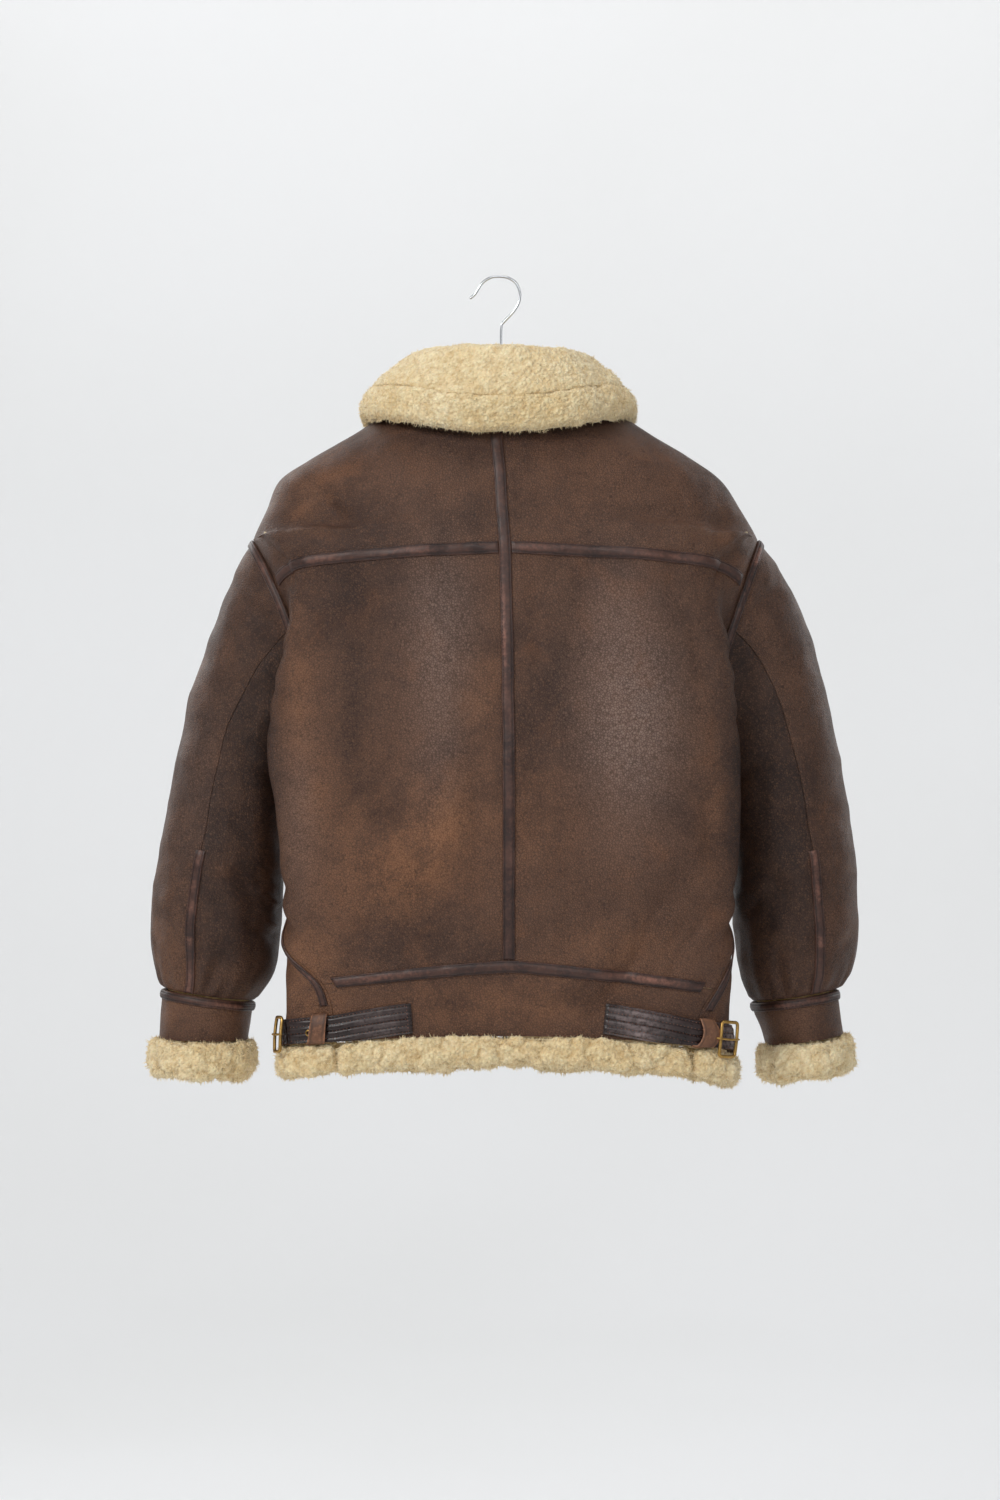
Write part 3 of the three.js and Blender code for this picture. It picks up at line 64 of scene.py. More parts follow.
ROWS = [
    ["neck", -135.9, -194.6, -115.5, -115.5, -77.7, 84.0, 0, 0, 0, -62, 66, -4, 1, 1, -1],
    ["collar", -153.2, -204.7, -140.7, -140.7, -117.1, 122.3, 0, 0, 0, -71, 74, -4, 1, 1, -1],
    ["slope", -172.4, -217.0, -165.9, -165.9, -156.5, 160.7, 0, 0, 0, -79, 82, -4, 1, 1, -1],
    ["blade", -193.6, -232.6, -191.1, -191.1, -199.5, 202.1, 0, 0, 0, -87, 89, -2, 1, 1, -1],
    ["point", -212.5, -248.3, -214.2, -214.2, -232.1, 233.1, 0, 0, 0, -93, 96, 0, 1, 1, -1],
    ["cap", -233.4, -267.3, -243.6, -243.6, -244.7, 252.0, 0, 0, 0, -98, 102, 1, 1, 1, -1],
    ["tip", -250.0, -286.5, 0, 0, 0, 0, 0, 0, 0, -102, 106, 2, 1, 1, 0],
    ["head", -261.4, -303.7, 0, 0, 0, 0, -246, 257, -38, -104, 108, 3, 1, 1, 20],
    ["crown", -273.8, -320.8, 0, 0, 0, 0, -231, 240, -64, -106, 110, 4, 1, 1, 40],
    ["yoke", -287.2, -340.2, 0, 0, 0, 0, -214, 224, -78, -108, 112, 5, 1, 1, 60],
    ["plate", -327.2, -366.0, 0, 0, 0, 0, -216.9, 227.7, -80, -111, 114, 6, 1, 1, 84],
    ["upper", -365.0, -394.0, 0, 0, 0, 0, -222.5, 235.9, -82, -114, 116, 7, 1, 1, 108],
    ["mid", -403.8, -423.2, 0, 0, 0, 0, -230.8, 241.1, -82, -116, 117, 8, 1, 1, 132],
    ["pit", -442.6, -452.4, 0, 0, 0, 0, -237.5, 244.2, -80, -118, 118, 8, 1, 1, 156],
    ["under", -480.3, -479.4, 0, 0, 0, 0, -240.1, 246.2, -77, -119, 118, 9, 1, 1, 180],
    ["chest", -516.0, -517.2, -514.5, -514.5, -195.3, 205.8, -239.0, 248.3, -75, -120, 119, 9, 1, 1, -1],
    ["rib", -551.6, -555.1, -548.1, -548.1, -198.5, 210.0, -232.9, 248.3, -75, -120, 119, 9, 1, 1, -1],
    ["waist", -587.3, -592.9, -585.9, -585.9, -203.7, 215.2, -227.7, 247.3, -75, -119, 119, 9, 1, 1, -1],
    ["low", -623.0, -630.7, -623.7, -623.7, -209.0, 220.5, -225.6, 244.2, -75, -118, 118, 9, 0.97, 0.97, -1],
    ["hip", -658.7, -666.4, -661.5, -661.5, -214.2, 226.8, -224.1, 241.6, -74, -116, 117, 9, 0.87, 0.88, -1],
    ["flank", -689.5, -700.8, -706.0, -708.0, -219.5, 233.1, -222.5, 240.1, -73, -113, 115, 9, 0.74, 0.76, -1],
    ["band", -716.2, -745.3, -752.0, -756.0, -221.6, 239.4, -220.5, 238.0, -72, -110, 113, 9, 0.61, 0.68, -1],
    ["belt", -752.1, -776.2, -779.4, -786.0, -222.6, 239.4, -220.5, 235.9, -70, -107, 111, 9, 0.585, 0.64, -1],
    ["hem", -788.1, -808.4, -806.7, -816.0, -224.7, 241.5, -222.5, 239.0, -70, -105, 109, 9, 0.57, 0.61, -1],
]
BODY = [dict(zip(COLS, r)) for r in ROWS]
R = {r["name"]: i for i, r in enumerate(BODY)}
NROW = len(BODY) - 1
BACK_COLS = [0, 0.14, 0.28, 0.41, 0.54, 0.66, 0.76, 0.85, 0.93, 1]
NB, NF = 9, 11
BELT = R["belt"] + BELT_V


# ---- noise ----------------------------------------------------------------------
def hashed(i, j, k, seed):
    h = (i * 73856093) ^ (j * 19349663) ^ (k * 83492791) ^ (seed * 2654435761)
    h = (h ^ (h >> 13)) & 0xFFFFFFFF
    h = (h * 1274126177) & 0xFFFFFFFF
    h = h ^ (h >> 16)
    h = (h * 668265263) & 0xFFFFFFFF
    return ((h ^ (h >> 15)) & 0xFFFFFF) / float(0xFFFFFF)


def noise(p, size, seed=1):
    """Smooth value noise from -1 to 1; size is the cell, one number or three, in mm."""
    q = np.asarray(p, float) / np.asarray(size, float) + 4096.0
    c = np.floor(q).astype(np.int64)
    f = q - c
    f = f * f * f * (f * (f * 6 - 15) + 10)
    out = 0
    for a in (0, 1):
        for b in (0, 1):
            for d in (0, 1):
                w = (f[..., 0] if a else 1 - f[..., 0]) * (f[..., 1] if b else 1 - f[..., 1]) * (f[..., 2] if d else 1 - f[..., 2])
                out = out + w * hashed(c[..., 0] + a, c[..., 1] + b, c[..., 2] + d, seed)
    return out * 2 - 1


def worley(p, size, seed=1):
    """Distance to the nearest and second nearest of one seeded point a cell, in cells."""
    q = np.asarray(p, float) / size + 4096.0
    c = np.floor(q).astype(np.int64)
    d1 = np.full(q.shape[:-1], 9.0)
    d2 = np.full(q.shape[:-1], 9.0)
    for a in (-1, 0, 1):
        for b in (-1, 0, 1):
            for e in (-1, 0, 1):
                i, j, k = c[..., 0] + a, c[..., 1] + b, c[..., 2] + e
                x = i + hashed(i, j, k, seed) - q[..., 0]
                y = j + hashed(i, j, k, seed + 7) - q[..., 1]
                z = k + hashed(i, j, k, seed + 13) - q[..., 2]
                d = np.sqrt(x * x + y * y + z * z)
                near = d < d1
                d2 = np.where(near, d1, np.minimum(d2, d))
                d1 = np.where(near, d, d1)
    return d1, d2


def unit(v):
    return v / np.maximum(np.linalg.norm(v, axis=-1, keepdims=True), 1e-9)


def smooth(x, a, b):
    t = np.clip((np.asarray(x, float) - a) / (b - a), 0, 1)
    return t * t * (3 - 2 * t)


def catmull(P, t):
    """P (n, ...) read at real places t by Catmull-Rom."""
    n = len(P)
    i = np.clip(np.floor(t).astype(int), 0, n - 2)
    f = (t - i).reshape((-1,) + (1,) * (P.ndim - 1))
    a, b, c, d = P[np.maximum(i - 1, 0)], P[i], P[i + 1], P[np.minimum(i + 2, n - 1)]
    first = (i == 0).reshape(f.shape)
    last = (i == n - 2).reshape(f.shape)
    a = np.where(first, 2 * b - c, a)
    d = np.where(last, 2 * c - b, d)
    return 0.5 * (2 * b + (c - a) * f + (2 * a - 5 * b + 4 * c - d) * f ** 2 + (3 * b - a - 3 * c + d) * f ** 3)


def even(P, t):
    """As catmull, but paced by the distance between rows, so that close rows don't fold over."""
    n = len(P)
    step = np.maximum(np.linalg.norm(np.diff(P, axis=0), axis=-1, keepdims=True), 0.05) ** 0.5
    i = np.clip(np.floor(t).astype(int), 0, n - 2)
    f = (t - i)[:, None, None]
    p1, p2, d = P[i], P[i + 1], step[i]
    p0, d0 = P[np.maximum(i - 1, 0)], step[np.maximum(i - 1, 0)]
    p3, d3 = P[np.minimum(i + 2, n - 1)], step[np.minimum(i + 1, n - 2)]
    first, last = (i == 0)[:, None, None], (i == n - 2)[:, None, None]
    p0 = np.where(first, 2 * p1 - p2, p0)
    p3 = np.where(last, 2 * p2 - p1, p3)
    m1 = d * ((p1 - p0) / d0 - (p2 - p0) / (d0 + d) + (p2 - p1) / d)
    m2 = d * ((p2 - p1) / d - (p3 - p1) / (d + d3) + (p3 - p2) / d3)
    return (2 * f ** 3 - 3 * f ** 2 + 1) * p1 + (f ** 3 - 2 * f ** 2 + f) * m1 + (3 * f ** 2 - 2 * f ** 3) * p2 + (f ** 3 - f ** 2) * m2


# ---- the body, as in the CAD ------------------------------------------------------
def ring_point(side, phi, face):
    a = ARMHOLE[side]
    phi = np.asarray(phi, float)
    c, s = np.cos(np.radians(phi)), np.sin(np.radians(phi))
    f = (1 - c) / 2
    return np.stack([a["top"][0] + (a["low"][0] - a["top"][0]) * f - SG[side] * a["bow"] * s * s,
                     face * HALF_DEPTH * s, a["top"][1] + (a["low"][1] - a["top"][1]) * f], -1)


class Half:
    """A quarter of a row: from the centre to its corner, then to its edge."""

    def __init__(self, row, side, face):
        sg = SG[side]
        if row["phi"] >= 0:
            p = ring_point(side, row["phi"], face)
            edge, self.edge_z = p[:2], p[2]
        else:
            edge, self.edge_z = np.array([row["edgeX" + side], 0.0]), row["edgeZ" + side]
        mid = [row["midX"] if face < 0 else 0, row["backY"] if face < 0 else row["frontY"]]
        corner = edge
        if row["cornY"] != 0:
            corner = [row["cornX" + side], row["cornY"]] if face < 0 else \
                [sg * min(abs(edge[0]) * 0.93, 205), max(58, edge[1] + 6)]
            if face > 0 and 0 < row["phi"] < 60:
                corner = [edge[0] - sg * 8, edge[1] + 14]
        n = 2.05 if row["cornY"] == 0 else 2.35 if face < 0 else 2.2
        t = np.linspace(0, math.pi / 2, 161)
        pts = np.stack([mid[0] + (corner[0] - mid[0]) * np.sin(t) ** (2 / n),
                        corner[1] + (mid[1] - corner[1]) * np.clip(np.cos(t), 0, 1) ** (2 / n)], -1)
        if math.hypot(corner[0] - edge[0], corner[1] - edge[1]) > 0.01:
            t = np.linspace(0, 1, 61)[1:]
            pts = np.concatenate([pts, np.stack([corner[0] + (edge[0] - corner[0]) * (1 - np.cos(math.pi * t ** SIDE_TUCK)) / 2,
                                                 corner[1] + (edge[1] - corner[1]) * t], -1)])
        self.pts = pts
        self.acc = np.concatenate([[0], np.cumsum(np.linalg.norm(np.diff(pts, axis=0), axis=1))])
        self.total = self.acc[-1]
        self.mid_z = row["backZ"] if face < 0 else row["frontZ"]
        self.row, self.face = row, face

    def at(self, s):
        s = np.clip(s, 0, 1)
        d = s * self.total
        r = self.row
        if self.face < 0 and 0 < r["phi"] < 180:
            drop = 0.45 * s ** 1.3 + 0.55 * s ** 12
        else:
            drop = s ** 1.25 if r["name"] == "band" else s * s
        return np.stack([np.interp(d, self.acc, self.pts[:, 0]), np.interp(d, self.acc, self.pts[:, 1]),
                         self.mid_z + (self.edge_z - self.mid_z) * drop], -1)


HALVES = [{sd: {"back": Half(r, sd, -1), "front": Half(r, sd, 1)} for sd in "LR"} for r in BODY]


def body_point(j, side, S):
    h = HALVES[j][side]
    S = np.asarray(S, float)
    return np.where((S > 1)[..., None], h["front"].at(2 - S), h["back"].at(S))


class Surf:
    """A grid of points with real parameters, read between its points; N faces out."""

    def __init__(self, us, vs, P, out, closed=False, lift=None):
        self.us, self.vs, self.closed = np.asarray(us, float), np.asarray(vs, float), closed
        self.P = P
        self.face(out)
        if lift is not None:
            h = lift(P, self.N)
            self.P = P + self.N * h[..., None]
            self.face(out)

    def face(self, out):
        P = self.P
        if self.closed:
            ext = np.concatenate([P[-2:-1], P, P[1:2]], 0)
            du = (ext[2:] - ext[:-2]) / 2
        else:
            du = np.gradient(P, axis=0)
        dv = np.gradient(P, axis=1)
        N = unit(np.cross(du, dv))
        self.flip = (N * out(P)).sum(-1).mean() < 0
        self.N = -N if self.flip else N

    def read(self, G, u, v):
        u, v = np.broadcast_arrays(np.asarray(u, float), np.asarray(v, float))
        if self.closed:
            u = np.mod(u - self.us[0], self.us[-1] - self.us[0]) + self.us[0]
        a = np.interp(u, self.us, np.arange(len(self.us)))
        b = np.interp(v, self.vs, np.arange(len(self.vs)))
        i = np.clip(a.astype(int), 0, len(self.us) - 2)
        j = np.clip(b.astype(int), 0, len(self.vs) - 2)
        x, y = (a - i)[..., None], (b - j)[..., None]
        return (G[i, j] * (1 - x) * (1 - y) + G[i + 1, j] * x * (1 - y) + G[i, j + 1] * (1 - x) * y + G[i + 1, j + 1] * x * y)

    def at(self, u, v):
        return self.read(self.P, u, v)

    def normal(self, u, v):
        return unit(self.read(self.N, u, v))

    def go(self, u, v, mm, along):
        """The parameter mm further along u or v."""
        t = np.array(u if along == "u" else v, float) + np.zeros_like(np.asarray(mm, float))
        span = (self.us if along == "u" else self.vs)
        e = (span[-1] - span[0]) / 800
        for _ in range(2):
            c = t if self.closed and along == "u" else np.clip(t, span[0] + e, span[-1] - e)
            if along == "u":
                size = np.linalg.norm(self.at(c + e, v) - self.at(c - e, v), axis=-1) / (2 * e)
            else:
                size = np.linalg.norm(self.at(u, c + e) - self.at(u, c - e), axis=-1) / (2 * e)
            t = t + mm * 0.5 / np.maximum(size, 1e-6)
        return t


# ---- folds: soft ridges (+) and troughs (-), by where they are seen --------------------
#       on, x0, z0, x1, z1, wide, high
FOLDS = [
    ("back", -72, -300, -66, -600, 30, 7), ("back", 147, -300, 140, -610, 32, 7.5),
    ("back", 92, -320, 90, -560, 24, -6), ("back", -166, -330, -146, -560, 26, -6),
    ("back", 60, -740, 190, -600, 18, 5), ("back", 100, -760, 215, -660, 14, -4.5),
    ("back", -90, -560, -140, -700, 26, 4), ("back", -199, -222, -136, -280, 14, -5), ("back", -26, -330, -22, -640, 14, -2.2), ("back", 34, -330, 34, -600, 14, -2.0),
    ("back", 225, -235, 232, -290, 12, -4),
    ("front", -95, -330, -80, -640, 34, 5), ("front", 110, -340, 100, -640, 34, 5),
    ("front", -165, -480, -90, -730, 26, -4), ("front", 172, -480, 110, -720, 26, -4),
    ("sleeveBack", -268, -640, -235, -690, 16, -5), ("sleeveBack", -330, -560, -262, -600, 18, -4),
    ("sleeveBack", -350, -660, -285, -700, 16, 4), ("sleeveBack", -262, -330, -226, -420, 16, -4),
    ("sleeveBack", 288, -640, 250, -700, 16, -5), ("sleeveBack", 340, -560, 270, -590, 18, -4),
    ("sleeveBack", 368, -680, 300, -690, 16, 4), ("sleeveBack", 285, -340, 252, -430, 16, -4),
    ("sleeveFront", -340, -520, -250, -560, 18, -5), ("sleeveFront", -350, -650, -260, -690, 16, -5),
    ("sleeveFront", 350, -520, 260, -560, 18, -5), ("sleeveFront", 362, -650, 270, -690, 16, -5),
    # finer creases, placed one by one
    ("back", -222, -268, -212, -330, 5, -2.2), ("back", -206, -262, -200, -318, 5, 1.6),
    ("back", -188, -240, -150, -262, 6, -1.6), ("back", -120, -190, -60, -262, 14, 1.6),
    ("back", -206, -600, -192, -690, 8, 1.8), ("back", -192, -590, -176, -668, 7, -1.5),
    ("back", -214, -640, -205, -700, 6, -1.6), ("back", -150, -700, -120, -655, 8, -1.5),
    ("back", -60, -712, -84, -650, 9, -1.4), ("back", -40, -712, -36, -668, 8, 1.2),
    ("back", 40, -712, 58, -662, 9, 1.3), ("back", 128, -722, 168, -648, 6, -1.8),
    ("back", 142, -728, 186, -660, 6, 1.8), ("back", 168, -738, 206, -672, 5, -1.8),
    ("back", 190, -742, 222, -700, 6, 1.6), ("back", 206, -560, 226, -640, 9, -2.0),
    ("back", 222, -540, 236, -620, 7, 1.6), ("back", 180, -300, 205, -420, 12, -2.2),
    ("back", 20, -300, 28, -400, 9, 1.4), ("back", -24, -310, -30, -420, 9, 1.4),
    ("back", -214, -360, -206, -470, 9, 1.8), ("back", -120, -330, -112, -470, 12, 1.8),
    ("back", 236, -250, 226, -300, 5, -2.4), ("back", 214, -262, 206, -302, 6, 1.4),
    ("back", 60, -200, 120, -262, 14, 1.4), ("back", 186, -238, 204, -284, 7, -1.8),
    ("sleeveBack", -246, -652, -232, -668, 4, -2.6), ("sleeveBack", -252, -634, -233, -648, 4, -2.4),
    ("sleeveBack", -256, -618, -232, -628, 4, -2.0), ("sleeveBack", -262, -676, -238, -694, 5, -2.6),
    ("sleeveBack", -250, -664, -235, -682, 3.5, 2.0), ("sleeveBack", -256, -642, -233, -657, 4, 2.0),
    ("sleeveBack", -288, -700, -300, -740, 7, -3), ("sleeveBack", -320, -690, -326, -742, 8, -3),
    ("sleeveBack", -346, -690, -344, -736, 8, 2.6), ("sleeveBack", -306, -696, -312, -742, 7, 2.6),
    ("sleeveBack", -262, -500, -236, -530, 8, -2.5), ("sleeveBack", -330, -430, -258, -480, 13, 2.4),
    ("sleeveBack", -318, -400, -240, -440, 10, -2.2), ("sleeveBack", -352, -600, -290, -622, 12, 2.2),
    ("sleeveBack", -300, -332, -262, -372, 9, 2.0), ("sleeveBack", -282, -318, -244, -360, 6, -2.0),
    ("sleeveBack", 296, -700, 290, -744, 7, -3), ("sleeveBack", 328, -690, 322, -744, 8, -3),
    ("sleeveBack", 354, -690, 348, -738, 8, 2.6), ("sleeveBack", 312, -696, 306, -744, 7, 2.6),
    ("sleeveBack", 268, -660, 250, -676, 5, -2.6), ("sleeveBack", 274, -640, 250, -654, 5, 2.0),
    ("sleeveBack", 276, -500, 246, -530, 8, -2.5), ("sleeveBack", 340, -430, 268, -470, 13, 2.4),
    ("sleeveBack", 326, -398, 250, -436, 10, -2.2), ("sleeveBack", 362, -600, 300, -622, 12, 2.2),
    ("sleeveBack", 306, -330, 280, -372, 9, 2.0), ("sleeveBack", 290, -320, 262, -358, 6, -2.2),
    ("sleeveFront", -320, -560, -250, -588, 10, 3), ("sleeveFront", -344, -676, -262, -712, 9, 3),
    ("sleeveFront", -300, -700, -306, -742, 8, -3), ("sleeveFront", -336, -694, -340, -740, 8, 2.6),
    ("sleeveFront", 330, -560, 262, -588, 10, 3), ("sleeveFront", 352, -676, 276, -712, 9, 3),
    ("sleeveFront", 306, -700, 300, -742, 8, -3), ("sleeveFront", 342, -694, 344, -740, 8, 2.6),
    ("sleeveFront", -300, -400, -232, -450, 12, -3), ("sleeveFront", 310, -400, 240, -450, 12, -3),
    ("front", -60, -620, -120, -760, 12, 2.2), ("front", 70, -620, 130, -760, 12, 2.2),
    ("front", -150, -300, -110, -420, 14, -2.4), ("front", 150, -300, 118, -430, 14, -2.4),
    ("front", -190, -520, -150, -640, 10, 2.2), ("front", 196, -520, 158, -640, 10, 2.2),
]


def folds(on, P):
    h = np.zeros(P.shape[:-1])
    for o, x0, z0, x1, z1, wide, high in FOLDS:
        if o != on:
            continue
        dx, dz = x1 - x0, z1 - z0
        t = np.clip(((P[..., 0] - x0) * dx + (P[..., 2] - z0) * dz) / (dx * dx + dz * dz), 0, 1)
        # the line wanders a little, and dies out unevenly
        wob = wide * 0.35 * np.sin(t * 5.1 + x0 * 0.37)
        nx, nz = -dz / math.hypot(dx, dz), dx / math.hypot(dx, dz)
        d = np.hypot(P[..., 0] - x0 - dx * t - nx * wob, P[..., 2] - z0 - dz * t - nz * wob)
        h += high * np.exp(-((d / wide) ** 2)) * (0.75 + 0.25 * np.cos(t * 4 + z0))
    return h


def soft(P, seed, amount=1.0):
    """The uneven rise and fall of thick hide, seeded."""
    n = 1.1 * noise(P, (46, 60, 95), seed) + 0.55 * noise(P, (21, 30, 34), seed + 3) + 0.26 * noise(P, (10, 14, 13), seed + 5)
    ridged = 1 - np.abs(noise(P, (30, 40, 44), seed + 9)) * 2.2
    return amount * (n + 0.5 * np.clip(ridged, -0.4, 1))


V_STEPS = np.unique(np.concatenate([np.linspace(j, j + 1, 17) for j in range(NROW)]))


def along_v(P):
    acc = np.concatenate([np.zeros((P.shape[0], 1)), np.cumsum(np.linalg.norm(np.diff(P, axis=1), axis=-1), axis=1)], 1)
    return acc


def along_u(P):
    return np.concatenate([np.zeros((1, P.shape[1])), np.cumsum(np.linalg.norm(np.diff(P, axis=0), axis=-1), axis=0)], 0)


def pucker(P, d, seed, reach=7.0, size=9.0, high=0.55):
    """Small puckers that the stitching draws up beside a seam, d mm away."""
    return high * np.exp(-np.maximum(d - 5, 0) / reach) * noise(P, size, seed)


def make_back():
    us = np.linspace(-1, 1, 301)
    base = []
    for j in range(NROW + 1):
        left = body_point(j, "L", -us[us < 0] * BODY[j]["seamL"])
        right = body_point(j, "R", us[us >= 0] * BODY[j]["seamR"])
        base.append(np.concatenate([left, right]))
    P = np.moveaxis(even(np.array(base), V_STEPS), 0, 1)
    taper = np.interp(np.abs(us), BACK_COLS, [1, 1, 1, 1, 1, 1, 0.8, 0.4, 0.1, 0])[:, None]
    av, au = along_v(P), along_u(P)
    mid = len(us) // 2

    def lift(P, N):
        h = folds("back", P) * taper
        h += soft(P, 11) * (0.25 + 0.75 * np.minimum(taper * 1.2, 1))
        row = lambda name: np.abs(av - av[:, [np.searchsorted(V_STEPS, R[name])]])
        h += pucker(P, row("yoke"), 21) + pucker(P, row("band"), 22, 9, 10, 0.75)
        h += pucker(P, np.abs(au - au[mid]) + 0 * av, 23, 6, 9, 0.45)
        # the seam allowance under the taping stands up a little
        h += 1.0 * np.exp(-(row("yoke") / 7) ** 2) + 1.3 * np.exp(-(row("band") / 7) ** 2)
        return h
    return Surf(us, V_STEPS, P, lambda P: P * [1, 1.5, 0], lift=lift)


def make_front(side):
    us = np.linspace(0, 1, 181)
    base = []
    for j in range(NROW + 1):
        s0, s1 = BODY[j]["seam" + side], 2 - FRONT_EDGE / HALVES[j][side]["front"].total
        base.append(body_point(j, side, s0 + (s1 - s0) * us ** 1.35 + 1e-9))
    P = np.moveaxis(even(np.array(base), V_STEPS), 0, 1)
    k = us[:, None] * NF
    ramp = np.sin(np.minimum(k / 2, 1) * math.pi / 2) * np.minimum((NF - k) / 2, 1)
    av, au = along_v(P), along_u(P)

    def lift(P, N):
        h = folds("front", P) * (P[..., 1] > 20) * ramp
        h += soft(P, 31 if side == "L" else 37) * ramp
        # the side panel shares its edge with the back, so it moves little there
        h += pucker(P, au, 24, 6, 9, 0.6) * np.minimum(k, 1)
        return h
    return Surf(us, V_STEPS, P, lambda P: P * [1, 1.5, 0], lift=lift)


# ---- sleeves and cuffs ---------------------------------------------------------------
# outX, outZ, inX, inZ, midY, half
SLEEVE = {
    "L": [(-273.1, -302.3, -204.0, -488.2, 7, 63), (-289.1, -337.9, -212.0, -497.6, 13, 64), (-309.5, -388.2, -219.0, -513.4, 19, 65),
          (-326.8, -439.7, -224.0, -534.5, 25, 66), (-338.9, -488.2, -227.0, -558.8, 29, 67), (-348.9, -535.8, -229.0, -584.3, 33, 68),
          (-357.8, -582.4, -229.5, -609.8, 34, 68), (-365.6, -628.1, -230.0, -639.6, 38, 67), (-370.1, -670.6, -231.0, -672.6, 41, 65),
          (-369.2, -702.5, -234.0, -704.5, 43, 62), (-364.0, -727.0, -241.9, -733.2, 44, 57), (-356.9, -747.3, -260.6, -761.2, 45, 50)],
    "R": [(292.0, -304.4, 215.0, -488.2, 7, 63), (311.2, -337.9, 223.0, -497.6, 13, 64), (330.5, -388.2, 230.0, -513.4, 19, 65),
          (344.7, -439.7, 235.0, -534.5, 25, 66), (356.9, -488.2, 239.0, -558.8, 29, 67), (365.8, -535.8, 242.0, -584.3, 33, 68),
          (372.6, -582.4, 244.0, -609.8, 34, 68), (377.3, -628.1, 245.5, -639.6, 38, 67), (378.6, -670.6, 246.5, -672.6, 41, 65),
          (377.7, -702.5, 249.5, -704.5, 43, 62), (371.5, -727.0, 256.8, -734.3, 44, 57), (359.2, -748.2, 267.5, -761.8, 45, 50)],
}
CUFF = {
    "L": [(-356.8, -748.4, -261.2, -762.2, 45, 49.5), (-358.6, -762.9, -262.8, -773.0, 45, 49),
          (-360.3, -777.6, -264.4, -784.6, 45, 48.5), (-362.1, -800.5, -267.6, -802.6, 45, 48)],
    "R": [(358.9, -749.4, 267.6, -762.8, 45, 49.5), (360.4, -763.6, 270.4, -775.2, 45, 49),
          (362.1, -777.4, 276.1, -787.7, 45, 48.5), (364.2, -796.2, 282.4, -807.9, 45, 48)],
}
SLEEVE_PHI = [0, 20, 40, 60, 84, 108, 132, 156, 180, 204, 228, 252, 276, 300, 320, 340, 360]
SEAM_BACK, SEAM_FRONT, SEAM_TURN = 84.0, 228.0, 16.0


def sleeve_ring(r, phi, bow, side):
    out_x, out_z, in_x, in_z, mid_y, half = r
    c, s = np.cos(np.radians(phi)), np.sin(np.radians(phi))
    f = (1 - c) / 2
    return np.stack([out_x + (in_x - out_x) * f - SG[side] * bow * s * s, mid_y - half * s, out_z + (in_z - out_z) * f], -1)


def turned(phi, share):
    return phi - SEAM_TURN * share * np.sin(np.radians(phi))


def make_sleeve(side):
    T, phis = SLEEVE[side], np.linspace(0, 360, 181)
    base = [np.where((phis <= 180)[:, None], ring_point(side, phis, -1), ring_point(side, 360 - phis, 1))]
    for j in range(1, len(T) + 1):
        base.append(sleeve_ring(T[j - 1], turned(phis, j / len(T)), ARMHOLE[side]["bow"] * max(0, 1 - j / 4), side))
    vs = np.linspace(0, len(T), 241)
    P = np.moveaxis(even(np.array(base), vs), 0, 1)
    mid = P[:-1].mean(0)
    fade = (smooth(vs, 0, 0.8) * smooth(len(T) - vs, 0, 0.7))[None, :]
    deep = (P[..., 1] - mid[None, :, 1]) / 55
    av = along_v(P)
    ring = np.radians(phis)[:, None]

    def lift(P, N):
        back, front = folds("sleeveBack", P), folds("sleeveFront", P)
        h = back * smooth(-deep, -0.25, 0.35) + front * smooth(deep, -0.25, 0.35)
        h = h * fade
        h += soft(P, 51 if side == "L" else 57, 1.35) * fade
        # gathers over the cuff seam
        low = np.exp(-np.maximum(av[:, -1:] - av, 0) / 24) * smooth(len(T) - vs, 0, 0.25)[None, :]
        h += low * (1.5 * np.sin(ring * 17 + 2 * np.sin(ring * 3)) + 1.2 * noise(P, (16, 16, 60), 61)) + 1.4 * low
        seam = np.minimum(np.abs((phis - SEAM_BACK + 180) % 360 - 180), 400)[:, None] * 1.25
        h += pucker(P, seam + 0 * av, 62, 7, 9, 0.5) * fade
        seam = np.minimum(np.abs((phis - SEAM_FRONT + 180) % 360 - 180), 400)[:, None] * 1.25
        h += (pucker(P, seam + 0 * av, 63, 7, 9, 0.5) - 1.2 * np.exp(-(seam / 2.2) ** 2)) * fade
        return h
    out = lambda P: P - mid[None]
    s = Surf(phis, vs, P, out, closed=True, lift=lift)
    s.mid = mid
    return s


def make_cuff(side):
    T, phis = CUFF[side], np.linspace(0, 360, 181)
    base = [sleeve_ring(r, turned(phis, 1), 0, side) for r in T]
    vs = np.linspace(0, len(T) - 1, 41)
    P = np.moveaxis(even(np.array(base), vs), 0, 1)
    mid = P[:-1].mean(0)
    return Surf(phis, vs, P, lambda P: P - mid[None], closed=True,
                lift=lambda P, N: soft(P, 71 if side == "L" else 73, 0.8) + 0.8 * noise(P, (14, 14, 40), 75))


BACK = make_back()
FRONT = {s: make_front(s) for s in "LR"}
SLV = {s: make_sleeve(s) for s in "LR"}
CUF = {s: make_cuff(s) for s in "LR"}
